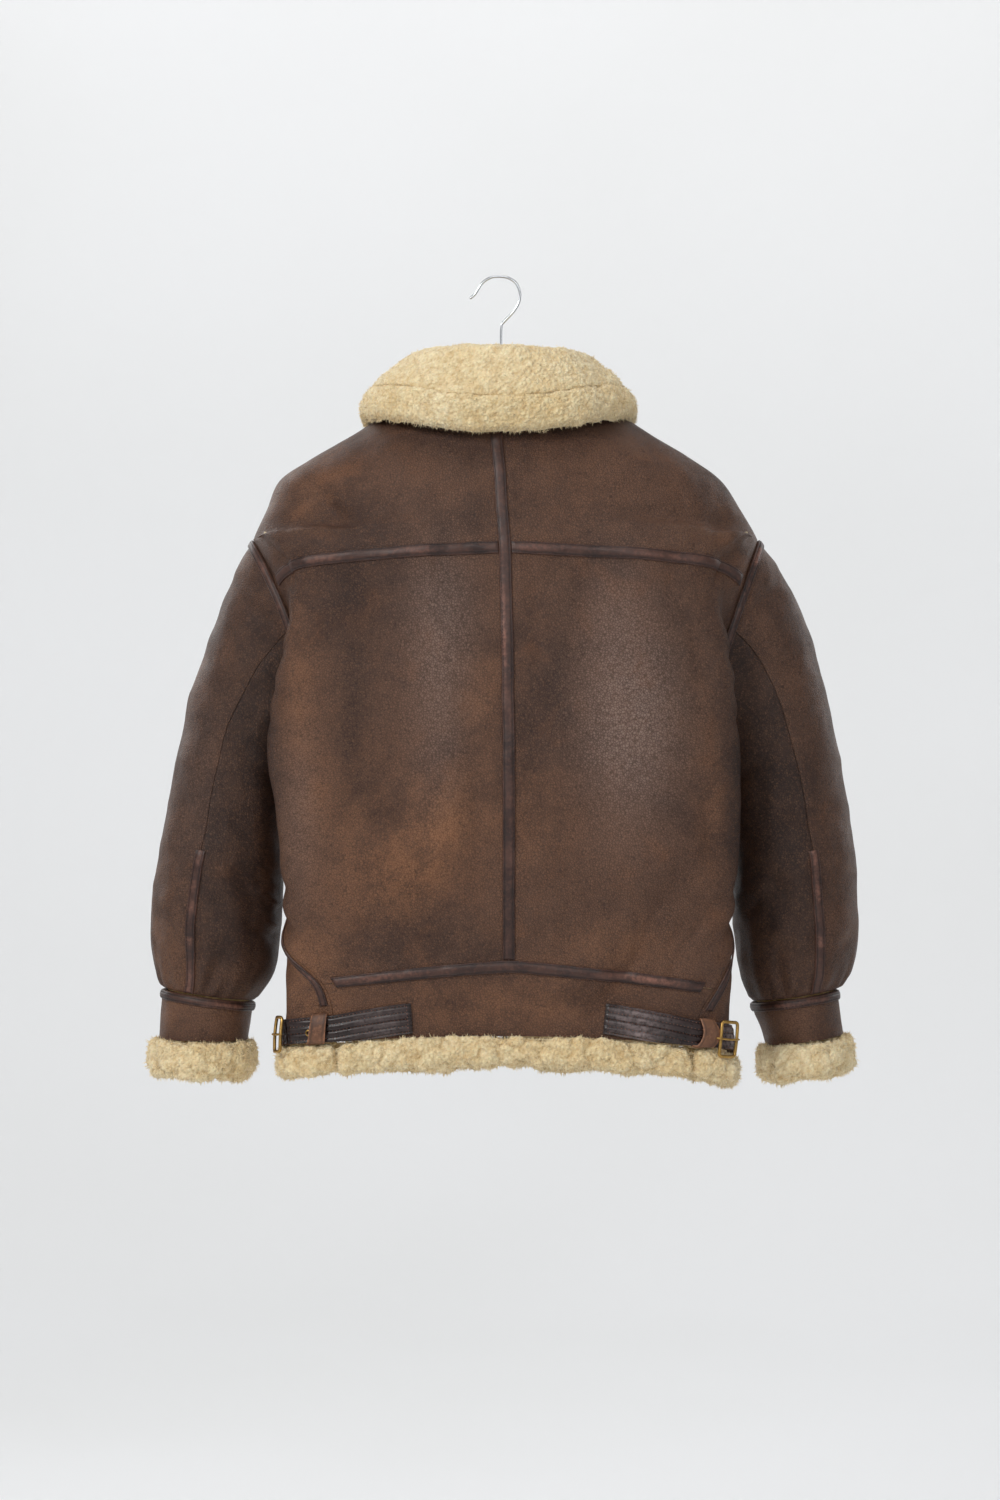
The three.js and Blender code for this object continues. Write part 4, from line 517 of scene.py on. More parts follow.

# ---- wear, painted shade, and gloss with painted sheen, by where they are seen on the back ---
#        x, z, rx, rz, amount
WEAR = [(-61, -577, 45, 55, 0.75), (-112, -628, 50, 40, 0.5), (-194, -710, 40, 40, 0.5), (-204, -445, 20, 90, 0.35),
        (-163, -567, 40, 60, 0.3), (-20, -434, 25, 60, 0.3), (-240, -618, 18, 45, 0.5), (-175, -215, 60, 25, 0.25),
        (40, -560, 40, 50, 0.3), (196, -430, 24, 80, 0.2), (120, -700, 60, 26, 0.25), (-60, -745, 90, 20, 0.2),
        (60, -742, 80, 20, 0.2), (220, -560, 20, 80, 0.25), (0, -765, 90, 20, 0.35), (-190, -770, 30, 26, 0.5), (90, -215, 60, 30, 0.12), (360, -640, 18, 60, 0.2),
        (-362, -600, 16, 80, 0.25), (275, -690, 20, 40, 0.2), (-205, -250, 30, 16, 0.25), (236, -262, 24, 20, 0.2)]
# the second table is painted shade: darker patches set where the coat lies in shade, in fold troughs, under the collar
# and on the sleeves' inner sides
PAINTED_SHADE_SPOTS = [(190, -400, 30, 100, 0.5), (61, -400, 20, 90, 0.35), (-150, -420, 26, 110, 0.3), (-236, -520, 16, 120, 0.6),
        (252, -520, 18, 130, 0.7), (-60, -180, 60, 18, 0.35), (40, -182, 70, 18, 0.25), (275, -560, 30, 120, 0.5),
        (-256, -420, 22, 90, 0.5), (-120, -505, 22, 60, 0.25), (150, -560, 22, 50, 0.15), (-20, -690, 40, 22, 0.25),
        (-300, -700, 20, 30, 0.3), (320, -560, 40, 120, 0.3), (-150, -330, 60, 60, 0.3), (-150, -470, 16, 110, 0.3),
        (92, -470, 16, 120, 0.28), (-300, -480, 60, 160, 0.35), (232, -480, 14, 160, 0.35), (300, -440, 40, 120, 0.25),
        (-20, -250, 50, 40, 0.2), (-256, -650, 20, 60, 0.3), (270, -660, 22, 60, 0.4), (60, -620, 18, 60, 0.2)]
# gloss: lower roughness there, and a painted sheen (a grey highlight) on the grain
GLOSS_AND_SHEEN = [(133, -466, 50, 90, 1.3), (-61, -363, 35, 80, 0.8), (-61, -480, 30, 80, 0.45), (-205, -560, 20, 80, 0.4),
         (120, -350, 40, 60, 0.4), (-330, -480, 30, 120, 0.35)]


def spots(P, table):
    h = np.zeros(P.shape[:-1])
    for x, z, rx, rz, a in table:
        h += a * np.exp(-((P[..., 0] - x) / rx) ** 2 - ((P[..., 2] - z) / rz) ** 2)
    return h


def leather_marks(P):
    y = P[..., 1]
    back = smooth(-y, -30, 30)
    n = 0.5 + 0.5 * noise(P, (60, 60, 70), 91)
    # hidden sides get wear of the same kind from the seeded noise
    wear = spots(P, WEAR) * back + (1 - back) * 0.5 * smooth(n, 0.6, 0.95)
    # the dark mask: painted shade from that table on the back, seeded darker tone on the hidden sides
    dark = spots(P, PAINTED_SHADE_SPOTS) * back + (1 - back) * 0.3 * smooth(1 - n, 0.6, 0.95)
    return dict(wear=np.clip(wear, 0, 1), dark=np.clip(dark, 0, 1), gloss_and_sheen=np.clip(spots(P, GLOSS_AND_SHEEN) * back, 0, 1.2))


def build(name, verts, faces, mats, index=None, attrs=None, sharp=None, smoothed=True):
    me = bpy.data.meshes.new(name)
    me.from_pydata((np.asarray(verts, float) * 0.001).tolist(), [], faces)
    for m in mats:
        me.materials.append(m)
    if index is not None:
        me.polygons.foreach_set("material_index", np.asarray(index, np.int32))
    if smoothed:
        me.shade_smooth()
        if sharp:
            me.set_sharp_from_angle(angle=math.radians(sharp))
    for key, val in (attrs or {}).items():
        a = me.attributes.new(key, "FLOAT", "POINT")
        a.data.foreach_set("value", np.asarray(val, np.float32).ravel())
    me.update()
    ob = bpy.data.objects.new(name, me)
    scene.collection.objects.link(ob)
    sum(len(f) - 2 for f in faces)
    return ob


def ready(ob, slot, *nodes, body="coat"):
    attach(ob, body)
    if nodes:
        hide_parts(*nodes)
    return ob


def shell(name, O, I, mats, closed=False, flip=False, attrs=None, rim=0, inner=1, sharp=60):
    """A fine outer grid and an inner one at every second point, joined all round."""
    nu, nv = O.shape[:2]
    mu, mv = I.shape[:2]
    o = np.arange(nu * nv).reshape(nu, nv)
    n = nu * nv + np.arange(mu * mv).reshape(mu, mv)
    faces, index = [], []
    if closed:
        o = np.concatenate([o, o[:1]])
        n = np.concatenate([n, n[:1]])
    a, b = o[:-1, :-1], o[1:, :-1]
    c, d = o[1:, 1:], o[:-1, 1:]
    quads = np.stack([a, b, c, d], -1).reshape(-1, 4)
    q2 = np.stack([n[:-1, 1:], n[1:, 1:], n[1:, :-1], n[:-1, :-1]], -1).reshape(-1, 4)
    rims = []
    for i in range(n.shape[0] - 1):
        rims.append([o[2 * i + 2, 0], o[2 * i + 1, 0], o[2 * i, 0], n[i, 0], n[i + 1, 0]])
        rims.append([o[2 * i, -1], o[2 * i + 1, -1], o[2 * i + 2, -1], n[i + 1, -1], n[i, -1]])
    if not closed:
        for j in range(mv - 1):
            rims.append([o[0, 2 * j], o[0, 2 * j + 1], o[0, 2 * j + 2], n[0, j + 1], n[0, j]])
            rims.append([o[-1, 2 * j + 2], o[-1, 2 * j + 1], o[-1, 2 * j], n[-1, j], n[-1, j + 1]])
    faces = quads.tolist() + q2.tolist() + [[int(x) for x in r] for r in rims]
    index = [0] * len(quads) + [inner] * len(q2) + [rim] * len(rims)
    if flip:
        faces = [f[::-1] for f in faces]
    verts = np.concatenate([O.reshape(-1, 3), I.reshape(-1, 3)])
    full = None
    if attrs:
        full = {k: np.concatenate([v.ravel(), v.reshape(nu, nv)[::2, ::2].ravel() if not closed else v.reshape(nu, nv)[::2, ::2].ravel()]) for k, v in attrs.items()}
    return build(name, verts, faces, mats, index, full, sharp)


def area_of(P):
    a = np.cross(P[1:, 1:] - P[:-1, :-1], P[1:, :-1] - P[:-1, 1:])
    return float(np.linalg.norm(a, axis=-1).sum() / 2)


FLATS = {}


def panel(name, surf, u0, u1, v0, v1, pitch=3.0, gaps=(0.3, 0.3, 0.3, 0.3), dips=(0, 0, 0, 0), wall=SHELL, closed=False, lining=None):
    """A stretch of a surface as a leather panel with wool behind it. gaps and dips go u0, u1, v0, v1."""
    g = surf.at(np.linspace(u0, u1, 41)[:, None], np.linspace(v0, v1, 41)[None, :])
    lu = np.linalg.norm(np.diff(g, axis=0), axis=-1).sum(0)
    lv = np.linalg.norm(np.diff(g, axis=1), axis=-1).sum(1)
    m = max(2, int(round(lu.max() / pitch / 2))) * 2
    n = max(2, int(round(lv.max() / pitch / 2))) * 2
    t, w = np.linspace(0, 1, m + 1), np.linspace(0, 1, n + 1)
    if closed:
        t = t[:-1]
    V = v0 + (v1 - v0) * w[None, :] + 0 * t[:, None]
    size_u = np.interp(w, np.linspace(0, 1, 41), lu)[None, :]
    size_v = np.interp(t, np.linspace(0, 1, 41), lv)[:, None]
    U = u0 + (u1 - u0) * t[:, None] + 0 * V
    if not closed:
        U = u0 + (u1 - u0) * (gaps[0] / size_u + t[:, None] * (1 - (gaps[0] + gaps[1]) / size_u))
    V = v0 + (v1 - v0) * (gaps[2] / size_v + w[None, :] * (1 - (gaps[2] + gaps[3]) / size_v))
    P, N = surf.at(U, V), surf.normal(U, V)
    d = np.zeros(P.shape[:-1])
    for deep, dist in zip(dips, (t[:, None] * size_u, (1 - t[:, None]) * size_u, w[None, :] * size_v, (1 - w[None, :]) * size_v)):
        if deep:
            d = d + deep * np.exp(-(dist / 2.6) ** 2)
    O = P - N * d[..., None]
    I = (P - N * wall)[::2, ::2]
    flip = surf.flip if (u1 > u0) else not surf.flip
    marks = leather_marks(P)
    # painted shade: the under-sleeve is darker on its back-facing side, where it tucks in by the body
    if name.endswith("_under"):
        marks["dark"] = np.clip(marks["dark"] + 0.5 * smooth(-P[..., 1], -50, 0), 0, 1)
    ob = shell(name + "_cloth", O, I, [M["leather"], lining or M["lining"]], closed, flip, marks)
    ready(ob, "leather", name)
    area = area_of(P) if not closed else area_of(np.concatenate([P, P[:1]]))
    wide, long = float(lu.max()), float(lv.max())
    FLATS[name] = (wide / 1000, long / 1000, area / 1e6)
    return ob


# ---- materials ------------------------------------------------------------------------------
def srgb(r, g, b):
    f = lambda c: c / 12.92 if c <= 0.04045 else ((c + 0.055) / 1.055) ** 2.4
    return (f(r / 255), f(g / 255), f(b / 255), 1.0)


class Mat:
    def __init__(self, name):
        self.m = bpy.data.materials.new(name)
        self.m.use_nodes = True
        self.t = self.m.node_tree
        self.t.nodes.clear()
        self.out = self.add("ShaderNodeOutputMaterial")
        self.bsdf = self.add("ShaderNodeBsdfPrincipled")
        self.t.links.new(self.bsdf.outputs[0], self.out.inputs[0])
        self.co = self.add("ShaderNodeTexCoord").outputs["Object"]

    def add(self, kind, **props):
        n = self.t.nodes.new(kind)
        for k, v in props.items():
            setattr(n, k, v)
        return n

    def plug(self, value, socket):
        if hasattr(value, "is_linked") or isinstance(value, bpy.types.NodeSocket):
            self.t.links.new(value, socket)
        else:
            socket.default_value = value

    def noise(self, scale, detail=3.0, rough=0.55, co=None, distort=0.0):
        n = self.add("ShaderNodeTexNoise")
        n.inputs["Scale"].default_value = scale
        n.inputs["Detail"].default_value = detail
        n.inputs["Roughness"].default_value = rough
        n.inputs["Distortion"].default_value = distort
        self.t.links.new(co or self.co, n.inputs["Vector"])
        return n.outputs["Fac"]

    def voronoi(self, scale, feature="F1", co=None, rand=1.0, out="Distance"):
        n = self.add("ShaderNodeTexVoronoi", feature=feature)
        n.inputs["Scale"].default_value = scale
        n.inputs["Randomness"].default_value = rand
        self.t.links.new(co or self.co, n.inputs["Vector"])
        return n.outputs[out]

    def scaled(self, x, y, z, co=None):
        n = self.add("ShaderNodeMapping")
        n.inputs["Scale"].default_value = (x, y, z)
        self.t.links.new(co or self.co, n.inputs["Vector"])
        return n.outputs[0]

    def attr(self, name):
        n = self.add("ShaderNodeAttribute", attribute_name=name)
        return n.outputs["Fac"]

    def math(self, op, a, b=0.0, c=None, clamp=False):
        n = self.add("ShaderNodeMath", operation=op, use_clamp=clamp)
        self.plug(a, n.inputs[0])
        self.plug(b, n.inputs[1])
        if c is not None:
            self.plug(c, n.inputs[2])
        return n.outputs[0]

    def span(self, v, a, b, lo=0.0, hi=1.0, kind="SMOOTHSTEP"):
        n = self.add("ShaderNodeMapRange", interpolation_type=kind)
        self.plug(v, n.inputs["Value"])
        for k, x in zip(("From Min", "From Max", "To Min", "To Max"), (a, b, lo, hi)):
            n.inputs[k].default_value = x
        return n.outputs[0]

    def mix(self, fac, a, b, blend="MIX"):
        n = self.add("ShaderNodeMix", data_type="RGBA", blend_type=blend)
        self.plug(fac, n.inputs[0])
        self.plug(a, n.inputs[6])
        self.plug(b, n.inputs[7])
        return n.outputs[2]

    def bump(self, height, strength, distance, normal=None):
        n = self.add("ShaderNodeBump")
        n.inputs["Strength"].default_value = strength
        n.inputs["Distance"].default_value = distance
        self.plug(height, n.inputs["Height"])
        if normal is not None:
            self.t.links.new(normal, n.inputs["Normal"])
        return n.outputs[0]

    def set(self, **kw):
        names = dict(color="Base Color", rough="Roughness", metal="Metallic", spec="Specular IOR Level", normal="Normal",
                     sheen="Sheen Weight", sheen_rough="Sheen Roughness", sheen_tint="Sheen Tint", coat="Coat Weight", coat_rough="Coat Roughness",
                     sss="Subsurface Weight", sss_scale="Subsurface Scale", sss_radius="Subsurface Radius")
        for k, v in kw.items():
            self.plug(v, self.bsdf.inputs[names[k]])
        return self.m


M = {}


def leather_material():
    k = Mat("hide_brown")
    big = k.noise(7, 3, 0.5, distort=0.5)
    med = k.noise(30, 4, 0.6, distort=0.4)
    fine = k.noise(290, 3, 0.6)
    speck = k.noise(520, 2, 0.5)
    cells = k.voronoi(390, "DISTANCE_TO_EDGE")
    small = k.voronoi(800, "DISTANCE_TO_EDGE")
    tops = k.span(cells, 0.02, 0.22)
    base = k.mix(k.span(big, 0.34, 0.66), srgb(72, 48, 36), srgb(98, 68, 51))
    base = k.mix(k.span(med, 0.45, 0.7, 0, 0.4), base, srgb(112, 76, 54))
    base = k.mix(k.span(med, 0.28, 0.46, 0.3, 0.0), base, srgb(52, 31, 22))
    base = k.mix(k.span(k.noise(17, 4, 0.6, distort=0.6), 0.55, 0.74, 0, 0.4), base, srgb(120, 76, 46))
    # rubbed places, over an uneven edge
    rub = k.math("MULTIPLY", k.attr("wear"), k.span(k.math("ADD", k.math("MULTIPLY", med, 0.65), k.math("MULTIPLY", fine, 0.4)), 0.38, 0.66, 0.3, 1.2))
    base = k.mix(k.math("MINIMUM", rub, 0.85), base, srgb(148, 100, 66))
    # painted shade: the dark mask mixes in a near-black brown
    dark = k.math("MULTIPLY", k.attr("dark"), k.span(med, 0.25, 0.7, 1.0, 0.7))
    base = k.mix(k.math("MINIMUM", dark, 0.9), base, srgb(34, 18, 12))
    # the grain: paler on its tops, dark between
    base = k.mix(k.math("MULTIPLY", tops, k.span(fine, 0.38, 0.68, 0.0, 0.30)), base, srgb(136, 98, 74))
    base = k.mix(k.span(cells, 0.0, 0.12, 0.55, 0.0), base, srgb(26, 14, 10))
    base = k.mix(k.span(speck, 0.28, 0.44, 0.3, 0.0), base, srgb(34, 19, 14))
    # painted sheen: a grey highlight on the tops of the grain where the gloss mask is high
    gloss_and_sheen = k.attr("gloss_and_sheen")
    painted_sheen = k.math("MULTIPLY", gloss_and_sheen, k.math("MULTIPLY", k.math("MULTIPLY_ADD", tops, 0.7, 0.3), k.span(fine, 0.3, 0.65, 0.28, 0.62)))
    base = k.mix(painted_sheen, base, srgb(146, 124, 114))
    grain = k.math("ADD", tops, k.math("MULTIPLY", k.span(small, 0.0, 0.2), 0.3))
    nrm = k.bump(grain, 0.6, 0.0007)
    crease = k.noise(70, 5, 0.6, k.scaled(1.5, 1, 0.6), 0.5)
    nrm = k.bump(k.span(crease, 0.3, 0.62), 0.12, 0.0014, nrm)
    rough = k.math("SUBTRACT", k.span(med, 0.3, 0.7, 0.56, 0.44), k.math("MULTIPLY", gloss_and_sheen, 0.10))
    rough = k.math("ADD", rough, k.span(fine, 0.3, 0.7, -0.06, 0.06))
    M["leather"] = k.set(color=base, rough=rough, spec=0.34, normal=nrm)


def trim_material(name, dark, light, key, rough=(0.32, 0.5), grain=0.2, spec=0.4, rub_sheen_colour=None):
    k = Mat(name)
    big = k.noise(28, 4, 0.6, distort=0.3)
    fine = k.noise(240, 3, 0.6)
    base = k.mix(k.span(big, 0.32, 0.68), srgb(*dark), srgb(*light))
    base = k.mix(k.span(fine, 0.45, 0.75, 0, 0.35), base, srgb(*[min(255, c * 1.5) for c in light]))
    base = k.mix(k.attr("groove"), base, srgb(*[c * 0.42 for c in dark]))
    # this mask lightens for rubbed wear and also for painted highlights on the taping and straps; on the strap its
    # colour is a grey painted sheen
    base = k.mix(k.math("MULTIPLY", k.attr("wear_and_sheen"), k.span(fine, 0.35, 0.65, 0.3, 1.0)), base, srgb(*(rub_sheen_colour or [min(255, c * 1.75 + 12) for c in light])))
    nrm = k.bump(k.span(k.voronoi(760, "DISTANCE_TO_EDGE"), 0, 0.18), grain, 0.0004)
    nrm = k.bump(k.noise(120, 4, 0.6, k.scaled(1, 1, 1), 0.4), 0.15, 0.001, nrm)
    M[key] = k.set(color=base, rough=k.span(fine, 0.3, 0.7, rough[0], rough[1]), spec=spec, normal=nrm)


def wool_material(name, key, deep, mid, top):
    k = Mat(name)
    big = k.noise(14, 3, 0.6)
    med = k.noise(110, 3, 0.65)
    fine = k.noise(620, 3, 0.7)
    base = k.mix(k.span(big, 0.3, 0.7), srgb(*mid), srgb(*top))
    base = k.mix(k.span(med, 0.35, 0.7, 0, 0.5), base, srgb(*[min(255, c + 10) for c in top]))
    # painted shade: darker between the curls and in the hollows of the cavity mask, in the deep colour
    curls = k.voronoi(270, "F1")
    base = k.mix(k.span(curls, 0.45, 0.9, 0.0, 0.25), base, srgb(*deep))
    cav = k.math("MULTIPLY", k.attr("cavity_shade"), k.span(fine, 0.25, 0.65, 0.85, 0.5))
    base = k.mix(k.math("MINIMUM", cav, 1.0), base, srgb(*deep))
    base = k.mix(k.span(fine, 0.28, 0.46, 0.12, 0.0), base, srgb(*deep))
    nrm = k.bump(k.span(curls, 0.05, 0.8, 1.0, 0.0), 0.6, 0.0022)
    nrm = k.bump(fine, 0.5, 0.0008, nrm)
    M[key] = k.set(color=base, rough=0.95, spec=0.1, sheen=0.45, sheen_rough=0.55, sheen_tint=srgb(255, 246, 226),
                   sss=0.15, sss_scale=0.004, sss_radius=(1.0, 0.75, 0.5), normal=nrm)


def metal_material(name, key, colour, second, rough, marks=0.3):
    k = Mat(name)
    big = k.noise(160, 4, 0.65)
    scr = k.noise(900, 2, 0.6, k.scaled(1, 1, 0.15))
    base = k.mix(k.span(big, 0.42, 0.7, 0, marks), srgb(*colour), srgb(*second))
    nrm = k.bump(scr, 0.12, 0.0002)
    M[key] = k.set(color=base, rough=k.span(big, 0.3, 0.7, rough[0], rough[1]), metal=1.0, normal=nrm)


leather_material()
trim_material("hide_taping", (46, 28, 23), (76, 50, 41), "trim", (0.34, 0.5), 0.2, 0.42)
# the strap's last colour, a pale grey, is its painted sheen
trim_material("strap_leather", (26, 16, 15), (44, 29, 27), "strap", (0.26, 0.4), 0.08, 0.45, (158, 140, 138))
trim_material("keeper_tan", (84, 54, 38), (116, 80, 58), "tan", (0.38, 0.55), 0.2)
trim_material("thread_brown", (44, 29, 25), (70, 46, 39), "thread", (0.6, 0.75), 0.1, 0.2)
trim_material("thread_rust", (92, 60, 50), (124, 86, 74), "thread_strap", (0.55, 0.7), 0.1, 0.2)
wool_material("wool_cream", "wool", (188, 152, 98), (240, 215, 166), (252, 234, 194))
wool_material("wool_clipped", "lining", (176, 146, 104), (214, 190, 148), (228, 206, 166))
metal_material("aged_brass", "brass", (188, 150, 86), (92, 70, 42), (0.26, 0.46), 0.6)
metal_material("chrome_wire", "steel", (205, 207, 210), (150, 152, 156), (0.14, 0.26), 0.3)


def wood_material():
    k = Mat("hanger_wood")
    ring = k.add("ShaderNodeTexWave", wave_type="BANDS", bands_direction="Z")
    ring.inputs["Scale"].default_value = 90
    ring.inputs["Distortion"].default_value = 3.5
    ring.inputs["Detail"].default_value = 3
    k.t.links.new(k.scaled(0.12, 1, 1), ring.inputs["Vector"])
    base = k.mix(ring.outputs["Fac"], srgb(150, 112, 72), srgb(184, 146, 100))
    base = k.mix(k.span(k.noise(60, 4, 0.6, k.scaled(0.1, 1, 1)), 0.4, 0.7, 0, 0.5), base, srgb(128, 92, 56))
    M["wood"] = k.set(color=base, rough=0.42, spec=0.5, normal=k.bump(ring.outputs["Fac"], 0.1, 0.0004))


def tape_material():
    k = Mat("zip_tape")
    a = k.add("ShaderNodeTexWave", wave_type="BANDS", bands_direction="Z")
    a.inputs["Scale"].default_value = 420
    b = k.add("ShaderNodeTexWave", wave_type="BANDS", bands_direction="X")
    b.inputs["Scale"].default_value = 420
    for w in (a, b):
        k.t.links.new(k.co, w.inputs["Vector"])
    weave = k.math("MULTIPLY", a.outputs["Fac"], b.outputs["Fac"])
    base = k.mix(weave, srgb(26, 20, 18), srgb(52, 42, 38))
    M["tape"] = k.set(color=base, rough=0.85, spec=0.2, normal=k.bump(weave, 0.5, 0.0003))


wood_material()
tape_material()

# ---- panels --------------------------------------------------------------------------------------
RY, RB, RH = R["yoke"], R["band"], R["hem"]
panel("back_yoke_left", BACK, -1, 0, 0, RY)
panel("back_yoke_right", BACK, 0, 1, 0, RY)
panel("back_left", BACK, -1, 0, RY, RB, pitch=2.8)
panel("back_right", BACK, 0, 1, RY, RB, pitch=2.8)
panel("back_hem_band", BACK, -1, 1, RB, RH, gaps=(0.3, 0.3, 0.3, 0))
for s in "LR":
    panel(f"front_{WORD[s]}", FRONT[s], 0, 1, 0, RH, pitch=3.8, gaps=(0.3, 0, 0.3, 0), dips=(0.9, 0.6, 0, 0))
    panel(f"sleeve_{WORD[s]}_upper", SLV[s], SEAM_FRONT, 360 + SEAM_BACK, 0, 12, pitch=3.3, gaps=(0.3, 0.3, 1.0, 0.3), dips=(0.8, 0.5, 0.6, 0.8))
    panel(f"sleeve_{WORD[s]}_under", SLV[s], SEAM_BACK, SEAM_FRONT, 0, 12, pitch=3.3, gaps=(0.3, 0.3, 1.0, 0.3), dips=(0.5, 0.8, 0.6, 0.8))
    panel(f"cuff_{WORD[s]}", CUF[s], 0, 360, 0, 3, pitch=3.3, gaps=(0, 0, 0.3, 0), wall=4.5, closed=True)


# ---- ribbons: taping strips and straps ---------------------------------------------------------------
STITCH = {"thread": [], "strap": []}


def stitches(P, N, key, pitch=3.4, long=2.2, thick=0.42, sink=0.0):
    """Stitch places along a line of points with their normals."""
    acc = np.concatenate([[0], np.cumsum(np.linalg.norm(np.diff(P, axis=0), axis=1))])
    n = int(acc[-1] / pitch)
    if n < 1:
        return
    s = (np.arange(n) + 0.5) * acc[-1] / n
    c = np.stack([np.interp(s, acc, P[:, k]) for k in range(3)], -1)
    nn = unit(np.stack([np.interp(s, acc, N[:, k]) for k in range(3)], -1))
    a = np.stack([np.interp(s - 0.5, acc, P[:, k]) for k in range(3)], -1)
    b = np.stack([np.interp(s + 0.5, acc, P[:, k]) for k in range(3)], -1)
    STITCH[key].append((c - nn * sink, unit(b - a), nn, long, thick))


def stitch_mesh(name, key, mat, slot):
    V, F = [], []
    base = 0
    for c, t, n, long, thick in STITCH[key]:
        b = np.cross(n, t)
        m = len(c)
        ring = []
        for x, r in ((-0.5, 0.3), (0.0, 1.0), (0.5, 0.3)):
            for k in range(4):
                a = (k + 0.5) * math.pi / 2
                up = math.sin(a) * thick * r + (0.14 if abs(x) < 0.4 else -0.3)
                ring.append(c + t * (x * long) + b * (math.cos(a) * thick * 1.25 * r) + n * up)
        ring = np.stack(ring, 1)
        V.append(ring.reshape(-1, 3))
        q = []
        for i in range(2):
            for k in range(4):
                q.append([i * 4 + k, i * 4 + (k + 1) % 4, i * 4 + 4 + (k + 1) % 4, i * 4 + 4 + k])
        q = np.array(q)
        caps = np.array([[3, 2, 1, 0], [8, 9, 10, 11]])
        q = np.concatenate([q, caps])
        F.append((base + np.arange(m)[:, None, None] * 12 + q[None]).reshape(-1, 4))
        base += m * 12
    V, F = np.concatenate(V), np.concatenate(F)
    z = np.zeros(len(V))
    ob = build(name, V, F.tolist(), [mat], attrs=dict(groove=z, wear_and_sheen=z))
    return ready(ob, slot)


